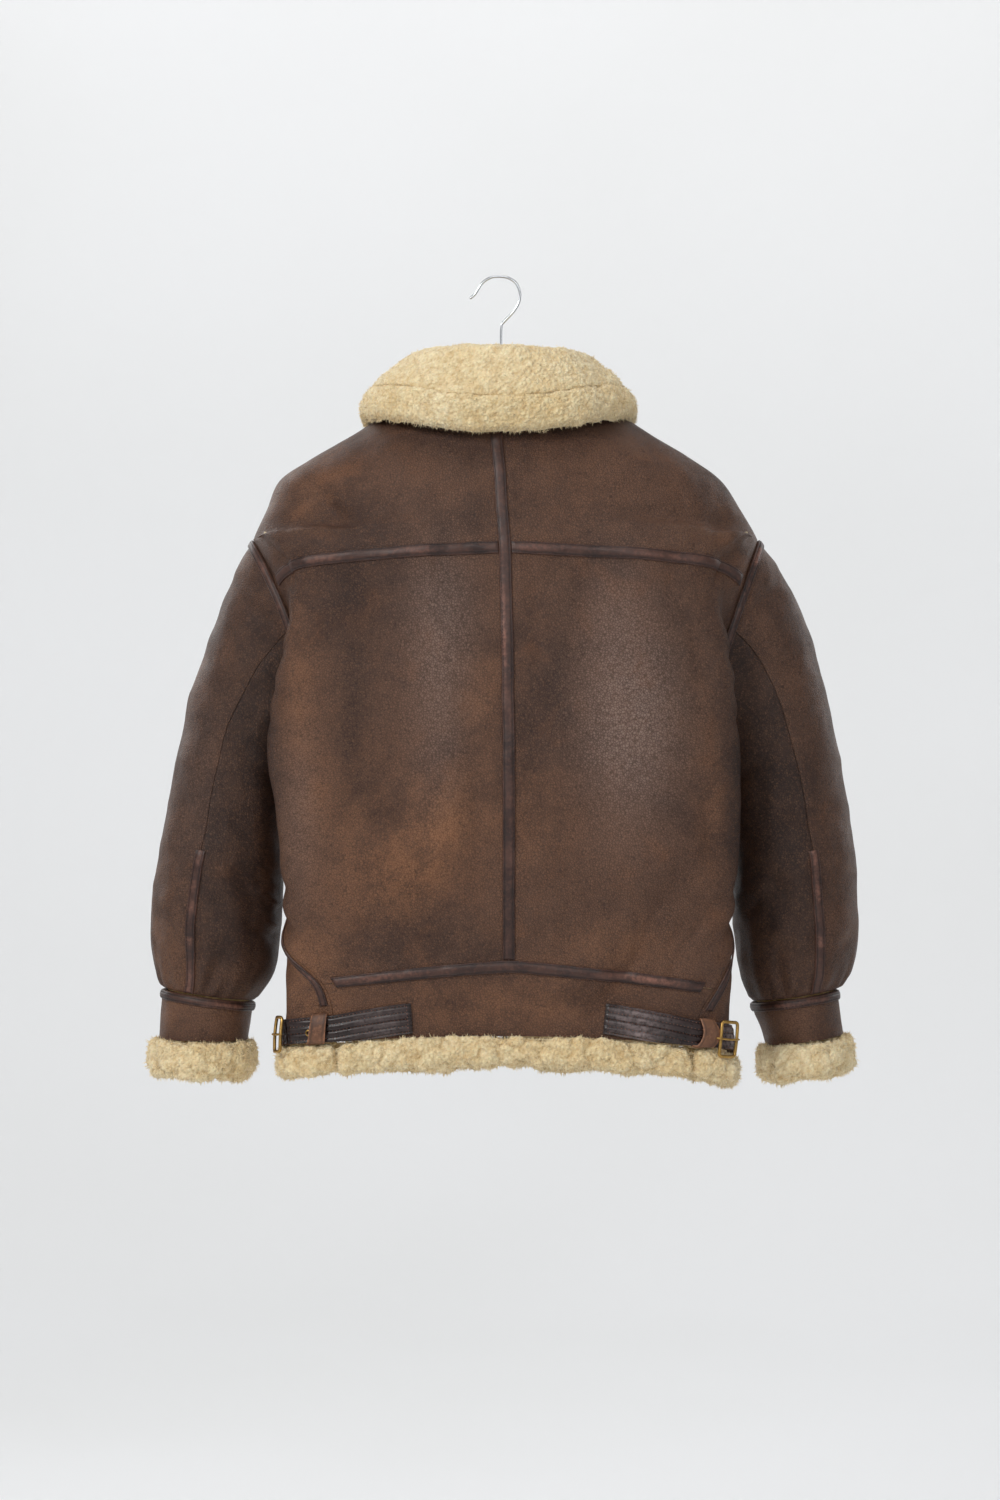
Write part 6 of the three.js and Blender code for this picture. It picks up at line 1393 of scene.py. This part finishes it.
def collar_piece(name, node, k0, k1, seed, tuft_n):
    lo_end, hi_end = k0 == 0, k1 == 12
    grid_k = np.linspace(0, 12, 12 * 30 + 1)
    S = np.linspace(0, len(stations) - 1, 401)
    Mid = catmull(np.moveaxis(catmull(np.moveaxis(CP, 1, 0), grid_k), 1, 0), S)     # (S, k, 3)
    Fc = unit(catmull(np.moveaxis(catmull(np.moveaxis(CF, 1, 0), grid_k), 1, 0), S))
    N = unit(np.cross(np.gradient(Mid, axis=0), np.gradient(Mid, axis=1)))
    N = np.where(((N * Fc).sum(-1) < 0)[..., None], -N, N)
    surf = Surf.__new__(Surf)
    surf.us, surf.vs, surf.P, surf.N, surf.closed, surf.flip = S, grid_k, Mid, N, False, False
    lu = np.linalg.norm(np.diff(surf.at(S, np.full(len(S), (k0 + k1) / 2)), axis=0), axis=1).sum()
    ks = np.linspace(k0, k1, 200)
    mid_line = surf.at(np.full(200, 8.0), ks)
    acc = np.concatenate([[0], np.cumsum(np.linalg.norm(np.diff(mid_line, axis=0), axis=1))])
    n = int(acc[-1] / 1.55 / 2) * 2
    kk = np.interp(np.linspace(0, acc[-1], n + 1), acc, ks)
    dist = np.linspace(0, acc[-1], n + 1)
    m = int(lu / 1.75 / 2) * 2
    SS = np.linspace(0, len(stations) - 1, m + 1)
    K = kk[None, :] + 0 * SS[:, None]
    # the cross seam sags towards the centre back
    sag = 0.62 * np.exp(-((SS - 8) / 2.6) ** 2)[:, None] + 0.12
    if hi_end:
        K = K + sag * (1 - (kk[None, :] - 8) / 4)
    else:
        K = K + sag * np.clip((kk[None, :] - 4) / 4, 0, 1) ** 2
    P, Nn = surf.at(SS[:, None], K), surf.normal(SS[:, None], K)
    toward = unit(P * [1, 1, 0])
    settle = smooth(K, 9.0, 12.0)[..., None]
    P = P - toward * settle * 7.5 - np.array([0, 0, 1.0]) * settle * 2.5
    half = np.full(n + 1, COLLAR_T / 2)
    if hi_end:     # the edge rolls over
        x = np.clip((acc[-1] - dist) / 9.0, 0, 1)
        half = half * (0.12 + 0.88 * np.sqrt(1 - (1 - x) ** 2))
    if lo_end:
        half = half * (0.55 + 0.45 * smooth(dist, 0, 12))
    su = np.linspace(0, lu, m + 1)
    ends = np.sqrt(np.clip(1 - (1 - np.clip(np.minimum(su, lu - su) / 7, 0, 1)) ** 2, 0, 1))
    half2 = half[None, :] * (0.2 + 0.8 * ends[:, None])
    h, cav = nubs(P + Nn * 6, Nn, 3.8, 1.15, 1.1, seed, 17.0, 0.6, 14.0)
    seam_d = (acc[-1] - dist) if not hi_end else dist
    groove = np.exp(-(seam_d / 2.4) ** 2)[None, :]
    broken = 0.65 + 0.35 * noise(P, 14, seed + 71)
    h = h - 1.7 * groove * broken - 0.4 * np.exp(-(seam_d / 7) ** 2)[None, :]
    # painted shade along the seam groove
    cav = np.clip(cav + 0.55 * broken * np.exp(-(seam_d / 1.3) ** 2)[None, :], 0, 1)
    fade = np.clip(half2 / (COLLAR_T / 2), 0, 1)
    O = P + Nn * (half2 + h * (0.3 + 0.7 * fade))[..., None]
    if hi_end:
        # uneven lower edge: locks hang past it
        run = unit(np.gradient(P, axis=1))
        reach = smooth(dist, acc[-1] - 16, acc[-1])[None, :]
        edge = 2.2 + 1.9 * noise(P, (9, 9, 400), seed + 21) + 1.6 * noise(P, (26, 26, 400), seed + 22)
        O = O + run * (reach * edge)[..., None]
        P = P + run * (reach * edge)[..., None]
    I = (P - Nn * half2[..., None])[::2, ::2]
    nu, nv = O.shape[:2]
    mu, mv = I.shape[:2]
    o = np.arange(nu * nv).reshape(nu, nv)
    q = nu * nv + np.arange(mu * mv).reshape(mu, mv)
    quads = np.stack([o[:-1, :-1], o[1:, :-1], o[1:, 1:], o[:-1, 1:]], -1).reshape(-1, 4)
    back = np.stack([q[:-1, 1:], q[1:, 1:], q[1:, :-1], q[:-1, :-1]], -1)
    rims = []
    for i in range(mu - 1):
        rims.append([o[2 * i + 2, 0], o[2 * i + 1, 0], o[2 * i, 0], q[i, 0], q[i + 1, 0]])
        rims.append([o[2 * i, -1], o[2 * i + 1, -1], o[2 * i + 2, -1], q[i + 1, -1], q[i, -1]])
    for j in range(mv - 1):
        rims.append([o[0, 2 * j], o[0, 2 * j + 1], o[0, 2 * j + 2], q[0, j + 1], q[0, j]])
        rims.append([o[-1, 2 * j + 2], o[-1, 2 * j + 1], o[-1, 2 * j], q[-1, j], q[-1, j + 1]])
    # the underside is hide, but wool wraps the lower edge
    under = np.ones((mu - 1, mv - 1), int)
    if hi_end:
        under[:, -4:] = 0
    F = quads.tolist() + back.reshape(-1, 4).tolist() + [[int(x) for x in r] for r in rims]
    idx = [0] * len(quads) + under.ravel().tolist() + [0] * len(rims)
    a, b, c = O[10, 10], O[11, 10], O[10, 11]
    if np.dot(np.cross(b - a, c - a), Nn[10, 10]) < 0:
        F = [f[::-1] for f in F]
    ON = unit(np.cross(np.gradient(O, axis=0), np.gradient(O, axis=1)))
    ON = np.where(((ON * Nn).sum(-1) < 0)[..., None], -ON, ON)
    keep = slice(8, None) if lo_end else slice(None)
    wisps = [tufts(O[:, keep], ON[:, keep], tuft_n, seed + 31, (1.4, 2.8))]
    if hi_end:
        tipn = unit(np.gradient(P, axis=1))[:, -3:]
        wisps.append(tufts(O[:, -3:], unit(tipn + 0.4 * Nn[:, -3:]), 1600, seed + 32, (2.2, 4.4)))
    V = np.concatenate([O.reshape(-1, 3), I.reshape(-1, 3)])
    # the inner points take a middling painted shade
    z = np.full(mu * mv, 0.3)
    ob = fur_piece(name, node, V, F, [M["wool"], M["leather"]], idx, np.concatenate([cav.ravel(), z]), wisps)
    me = ob.data
    for key in ("wear", "dark", "gloss_and_sheen"):
        me.attributes.new(key, "FLOAT", "POINT")
    area = area_of(P)
    FLATS[node] = (acc[-1] / 1000, lu / 1000, area / 1e6)
    return ob, area


collar_up, area_up = collar_piece("collar_upper_wool", "collar_upper", 0, 8, 111, 6000)
collar_lo, area_lo = collar_piece("collar_lower_wool", "collar_lower", 8, 12, 121, 6000)

HEM_FUR = dict(high=33.0, thick=24.0, clear=1.0)
CUFF_FUR = dict(high=42.0, thick=25.0, clear=0.5)


def fur_tube(name, node, tops, across, down, size, seed, closed=False, pitch=1.6, tuft_n=5000, over=5.0, wave=2.0, skin=3.0, slim=None):
    """A roll of wool under an edge: its section stands proud of the leather and laps up over its face."""
    acc = np.concatenate([[0], np.cumsum(np.linalg.norm(np.diff(tops, axis=0), axis=1))])
    n = int(acc[-1] / pitch)
    s = np.linspace(0, acc[-1], n + 1)
    if closed:
        s = s[:-1]
    pick = lambda A: np.stack([np.interp(s, acc, A[:, k]) for k in range(3)], -1)
    T0, A0, D0 = pick(tops), unit(pick(across)), unit(pick(down))
    m = int((size["high"] + size["thick"]) * 1.55 / pitch)
    a = np.arange(m) / m * 2 * math.pi
    sup = lambda v, e: np.sign(v) * np.abs(v) ** e
    C = T0 + D0 * (size["clear"] + size["high"] / 2)
    grow = np.ones(len(s))
    if not closed:
        e = np.clip(np.minimum(s - s[0], s[-1] - s) / 9.0, 0, 1)
        grow = 0.06 + 0.94 * np.sqrt(1 - (1 - e) ** 2)
    core = 0.86      # the curls bring it back to its full reach
    ca, sa = sup(np.cos(a), 0.85), sup(np.sin(a), 0.85)
    x = ca[None, :] * size["thick"] / 2 * core * grow[:, None]
    y = sa[None, :] * size["high"] / 2 * core * grow[:, None]
    # top, outer part laps up over the leather edge, unevenly
    lap = smooth(np.cos(a), 0.15, 0.75) * smooth(-np.sin(a), -0.15, 0.75)
    un = over * (1 + 0.45 * noise(T0, 21, seed + 41) + 0.35 * noise(T0, 9, seed + 42))
    if slim is not None:
        un = un - slim(T0)
    y = y - lap[None, :] * (un * grow)[:, None]
    # lower edge rises and falls
    low = smooth(np.sin(a), -0.1, 0.8)
    y = y + low[None, :] * ((2.2 * noise(T0, 34, seed + 43) + 1.3 * noise(T0, 15, seed + 44)) * grow)[:, None]
    P = C[:, None] + A0[:, None] * x[..., None] + D0[:, None] * y[..., None]
    du = (np.roll(P, -1, 0) - np.roll(P, 1, 0)) if closed else np.gradient(P, axis=0)
    dv = np.roll(P, -1, 1) - np.roll(P, 1, 1)
    N = unit(np.cross(du, dv))
    radial = P - C[:, None]
    if (N * radial).sum(-1).mean() < 0:
        N = -N
    h, cav = nubs(P, N, 4.6, 1.2, wave * 0.7, seed, 15.0, 2.2, 19.0)
    h = h - 0.8
    h = h * grow[:, None]
    O = P + N * h[..., None]
    nn, mm = O.shape[:2]
    o = np.arange(nn * mm).reshape(nn, mm)
    o2 = np.concatenate([o, o[:1]]) if closed else o
    o3 = np.concatenate([o2, o2[:, :1]], 1)
    F = np.stack([o3[:-1, :-1], o3[1:, :-1], o3[1:, 1:], o3[:-1, 1:]], -1).reshape(-1, 4).tolist()
    V = O.reshape(-1, 3)
    cavity_shade = cav.ravel()
    if not closed:
        for row, i in ((o[0], 0), (o[-1], 1)):
            c = len(V)
            V = np.concatenate([V, O[0 if i == 0 else -1].mean(0, keepdims=True)])
            # the cap's centre takes a light painted shade
            cavity_shade = np.append(cavity_shade, 0.2)
            for k in range(mm):
                f = [int(row[(k + 1) % mm]), int(row[k]), c]
                F.append(f if i == 0 else f[::-1])
    q0 = O[5, 5]
    if np.dot(np.cross(O[6, 5] - q0, O[5, 6] - q0), N[5, 5]) < 0:
        F = [f[::-1] for f in F]
    ob = fur_piece(name, node, V, F, [M["wool"]], [0] * len(F), cavity_shade, [tufts(O, N, tuft_n, seed + 51)])
    FLATS[node] = ((size["high"] + size["thick"]) * 1.4 / 1000, acc[-1] / 1000, (size["high"] + size["thick"]) * 1.4 * acc[-1] / 1e6)
    return ob


def edge_line(surf, us, v, inset):
    P, N = surf.at(us, np.full(len(us), float(v))), surf.normal(us, np.full(len(us), float(v)))
    A = unit(N * [1, 1, 0])
    return P - N * inset, A, np.tile([0, 0, -1.0], (len(us), 1))


tops, acr, dn = edge_line(BACK, np.linspace(-0.995, 0.995, 300), RH, WALL / 2)
side_low = lambda P: 8.0 * smooth(np.abs(P[:, 0]), 90, 185) * smooth(-P[:, 1], 0, 60)
fur_tube("hem_fur_back_wool", "hem_fur_back", tops, acr, dn, HEM_FUR, 131, tuft_n=7000, pitch=1.45, slim=side_low)
for s in "LR":
    tops, acr, dn = edge_line(FRONT[s], np.linspace(0.008, 0.985, 300), RH, WALL / 2)
    fur_tube(f"hem_fur_{WORD[s]}_wool", f"hem_fur_{WORD[s]}", tops, acr, dn, HEM_FUR, 141 if s == "L" else 151, tuft_n=5000, pitch=1.75, slim=side_low)
    cu = CUF[s]
    phis = np.linspace(0, 360, 241)
    P, N = cu.at(phis, np.full(241, 3.0)), cu.normal(phis, np.full(241, 3.0))
    P[-1], N[-1] = P[0], N[0]
    A = unit(N * [1, 1, 0])
    tops = P + A * (-3 + 1.5)
    dn = np.tile([SG[s] * 0.06, 0, -1.0], (241, 1))
    fur_tube(f"cuff_fur_{WORD[s]}_wool", f"cuff_fur_{WORD[s]}", tops, A, dn, CUFF_FUR, 161 if s == "L" else 171, closed=True, tuft_n=5000, pitch=1.6, over=4.0)

# ---- zip ---------------------------------------------------------------------------------------------------
ZR = np.array([[0, r["frontY"], r["frontZ"]] for r in BODY], float)
zt = np.linspace(0, NROW, 260)
ZP = catmull(ZR, zt)
ZN = unit(np.stack([0 * zt, -np.gradient(ZP[:, 2]), np.gradient(ZP[:, 1])], -1))
ZN = np.where((ZN[:, 1:2] < 0), -ZN, ZN)
for s in "LR":
    sg = SG[s]
    xs = np.array([2.7, 3.0, 4.0, 5.2, 6.4, 7.3, 7.5]) * sg
    hh = np.array([0, 0.25, 0.3, 0.2, 0.28, 0.25, 0])
    ripple = 0.12 * np.sin(np.arange(260) * 0.9)
    O = ZP[:, None] + np.stack([np.broadcast_to(xs, (260, 7)), np.zeros((260, 7)), np.zeros((260, 7))], -1) - ZN[:, None] * (3.4 - hh[None, :] - ripple[:, None])[..., None]
    I = O - ZN[:, None] * 0.9
    m = 7
    o = np.arange(260 * m).reshape(260, m)
    q = o + 260 * m
    F = np.stack([o[:-1, :-1], o[1:, :-1], o[1:, 1:], o[:-1, 1:]], -1).reshape(-1, 4).tolist()
    F += np.stack([q[:-1, 1:], q[1:, 1:], q[1:, :-1], q[:-1, :-1]], -1).reshape(-1, 4).tolist()
    F += np.stack([o[1:, 0], o[:-1, 0], q[:-1, 0], q[1:, 0]], -1).tolist()
    F += np.stack([o[:-1, -1], o[1:, -1], q[1:, -1], q[:-1, -1]], -1).tolist()
    for j in range(m - 1):
        F.append([int(o[0, j]), int(o[0, j + 1]), int(q[0, j + 1]), int(q[0, j])])
        F.append([int(o[-1, j + 1]), int(o[-1, j]), int(q[-1, j]), int(q[-1, j + 1])])
    V = np.concatenate([O.reshape(-1, 3), I.reshape(-1, 3)])
    if np.dot(np.cross(O[1, 0] - O[0, 0], O[0, 1] - O[0, 0]), ZN[0]) < 0:
        F = [f[::-1] for f in F]
    ob = build(f"zip_tape_{WORD[s]}_cloth", V, F, [M["tape"]], sharp=50)
    ready(ob, "tape", f"zip_tape_{WORD[s]}")
    acc = np.linalg.norm(np.diff(ZP, axis=0), axis=1).sum()
    FLATS[f"zip_tape_{WORD[s]}"] = (0.0102, acc / 1000, 0.0102 * acc / 1000)
# teeth: joined small blocks, left and right in turn
acc = np.concatenate([[0], np.cumsum(np.linalg.norm(np.diff(ZP, axis=0), axis=1))])
s0 = np.interp(1.0, zt, acc)
st = np.arange(s0 + 1, acc[-1] - 1, 1.35)
C = np.stack([np.interp(st, acc, ZP[:, k]) for k in range(3)], -1)
Nz = unit(np.stack([np.interp(st, acc, ZN[:, k]) for k in range(3)], -1))
Tz = unit(np.stack([0 * st, -Nz[:, 2], Nz[:, 1]], -1))
V, F = [], []
shape = [(-0.45, 0.42, 0.9), (0.35, 0.34, 1.05), (1.0, 0.5, 1.1), (2.15, 0.5, 0.8)]
for i in range(len(st)):
    sgn = 1 if i % 2 else -1
    base = len(V)
    for x, t, h in shape:
        for a, b in ((-1, -1), (1, -1), (1, 1), (-1, 1)):
            V.append(C[i] + np.array([sgn * x, 0, 0]) + Tz[i] * (a * t) + Nz[i] * (-3.8 + b * h))
    for k in range(3):
        for q in range(4):
            p = (q + 1) % 4
            f = [base + k * 4 + q, base + k * 4 + p, base + k * 4 + 4 + p, base + k * 4 + 4 + q]
            F.append(f if sgn > 0 else f[::-1])
    cap0, cap1 = [base + 3, base + 2, base + 1, base], [base + 12 + q for q in range(4)]
    F.append(cap0 if sgn > 0 else cap0[::-1])
    F.append(cap1 if sgn > 0 else cap1[::-1])
ob = build("zip_teeth", np.array(V), F, [M["brass"]], sharp=30)
ready(ob, "brass", "zip_chain")
for n in ("zip_slider", "zip_pull"):
    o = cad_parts[n]
    o.data.materials.clear()
    o.data.materials.append(M["brass"])

# ---- hanger ----------------------------------------------------------------------------------------------------
HOOK = [(1.5, -119.8), (1.5, -84), (1.5, -52), (4.6, -45.6), (14, -35.5), (19.6, -26.3), (21.2, -17), (19.2, -9.6), (15, -3.7),
        (8.2, 0.2), (0, 1.5), (-7.4, 1.1), (-14, -1.7), (-19.4, -6.2), (-22.6, -11), (-26, -16.6), (-31.6, -21.9)]
H = np.array([[x, 0, z] for x, z in HOOK], float)
ht = np.linspace(0, len(H) - 1, 190)
HP = catmull(H, ht)
rad = np.full(len(HP), 1.42)
rad[:3], rad[-3:] = 1.42, [1.4, 1.15, 0.6]
v, f = tube(HP, rad, 16)
ready(build("hanger_hook_wire", v, f, [M["steel"]]), "steel", "hanger_hook")
BAR = np.array([(-204, -221, 14, 9), (-196, -218, 19, 11), (-158, -195, 20, 13), (-119, -171, 20, 13), (-80, -148, 20, 13),
                (-40, -135, 20, 15), (0, -130, 20, 18), (40, -135, 20, 15), (82, -148, 20, 13), (122, -171, 20, 13),
                (161, -195, 20, 13), (199, -218, 19, 11), (207, -222, 14, 9)], float)
bt = catmull(BAR, np.linspace(0, len(BAR) - 1, 150))
d = unit(np.gradient(bt[:, :2], axis=0))
up = np.stack([-d[:, 1], 0 * d[:, 0], d[:, 0]], -1)
k = np.arange(26) / 26 * 2 * math.pi
sup = lambda v: np.sign(v) * np.abs(v) ** 0.85
V = np.stack([bt[:, 0], np.full(150, -3.0), bt[:, 1]], -1)[:, None] + up[:, None] * (sup(np.sin(k))[None, :, None] * bt[:, 3][:, None, None] / 2) \
    + np.array([0, 1, 0])[None, None] * (sup(np.cos(k))[None, :, None] * bt[:, 2][:, None, None] / 2)
F = []
for i in range(149):
    for q in range(26):
        p = (q + 1) % 26
        F.append([i * 26 + q, i * 26 + p, (i + 1) * 26 + p, (i + 1) * 26 + q])
F.append(list(range(26))[::-1])
F.append([149 * 26 + q for q in range(26)])
ready(build("hanger_body_wood", V.reshape(-1, 3), F, [M["wood"]], sharp=60), "wood", "hanger_body")

stitch_mesh("stitches_trim", "thread", M["thread"], "trim")
stitch_mesh("stitches_strap", "strap", M["thread_strap"], "strap")

# ---- stage and light ----------------------------------------------------------------------------------------------
FLOOR, RADIUS, CURVE, HIGH = -2.1, 9.0, 2.4, 5.0
prof = [(0.0, FLOOR)] + [(r, FLOOR) for r in np.linspace(0.8, RADIUS - CURVE, 8)]
prof += [(RADIUS - CURVE + CURVE * math.sin(t), FLOOR + CURVE - CURVE * math.cos(t)) for t in np.linspace(0, math.pi / 2, 13)[1:]]
prof += [(RADIUS, z) for z in np.linspace(FLOOR + CURVE, HIGH, 6)[1:]]
nseg = 96
V, F = [(0, 0, FLOOR)], []
for r, z in prof[1:]:
    V += [(r * math.cos(a), r * math.sin(a), z) for a in np.arange(nseg) / nseg * 2 * math.pi]
for k in range(nseg):
    F.append([0, 1 + k, 1 + (k + 1) % nseg])
for i in range(len(prof) - 2):
    for k in range(nseg):
        l = (k + 1) % nseg
        F.append([1 + i * nseg + k, 1 + (i + 1) * nseg + k, 1 + (i + 1) * nseg + l, 1 + i * nseg + l])
me = bpy.data.meshes.new("cove")
me.from_pydata(V, [], F)
me.shade_smooth()
cove = bpy.data.objects.new("cove", me)
scene.collection.objects.link(cove)
k = Mat("backdrop_paper")
base = k.mix(k.span(k.noise(0.35, 2, 0.5), 0.3, 0.7), srgb(238, 239, 240), srgb(233, 234, 234))
me.materials.append(k.set(color=base, rough=0.9, spec=0.1, normal=k.bump(k.noise(140, 3, 0.6), 0.04, 0.002)))


def area(name, loc, target, size, power, colour=(1, 1, 1), size_y=None):
    l = bpy.data.lights.new(name, "AREA")
    l.shape = "RECTANGLE"
    l.size, l.size_y = size, size_y or size
    l.energy, l.color = power, colour
    o = bpy.data.objects.new(name, l)
    o.location = loc
    from mathutils import Vector
    o.rotation_euler = (Vector(target) - Vector(loc)).to_track_quat("-Z", "Y").to_euler()
    scene.collection.objects.link(o)
    return o


area("key", (-2.6, -3.2, 1.9), (0, 0, -0.45), 1.3, 92, (1.0, 0.985, 0.965), 1.5)
area("front", (0.6, -4.6, 1.2), (0, 0, -0.5), 2.2, 36, (0.97, 0.985, 1.0), 1.2)
area("top", (0.0, -0.4, 3.2), (0, 0, -0.4), 2.0, 26, (1, 1, 1), 2.0)
area("back_left", (-2.6, 3.2, 1.5), (0, 0, -0.45), 1.6, 50, (1, 1, 1), 1.8)
area("back_right", (2.8, 2.6, 0.8), (0, 0, -0.5), 1.4, 20, (1, 1, 1), 1.8)
area("wash_a", (0, 4.5, 4.2), (0, 9.0, -0.8), 7.0, 205, (1, 0.992, 0.99), 1.5)
area("wash_b", (0, -5.0, 4.6), (0, -9.0, -0.5), 6.0, 40, (1, 1, 1), 1.5)
world = bpy.data.worlds.new("studio")
scene.world = world
world.use_nodes = True
bg = world.node_tree.nodes["Background"]
bg.inputs[0].default_value = (0.985, 0.988, 1.0, 1)
bg.inputs[1].default_value = 0.3

for key, val in FLATS.items():
    print("flat", key, [round(x, 4) for x in val])
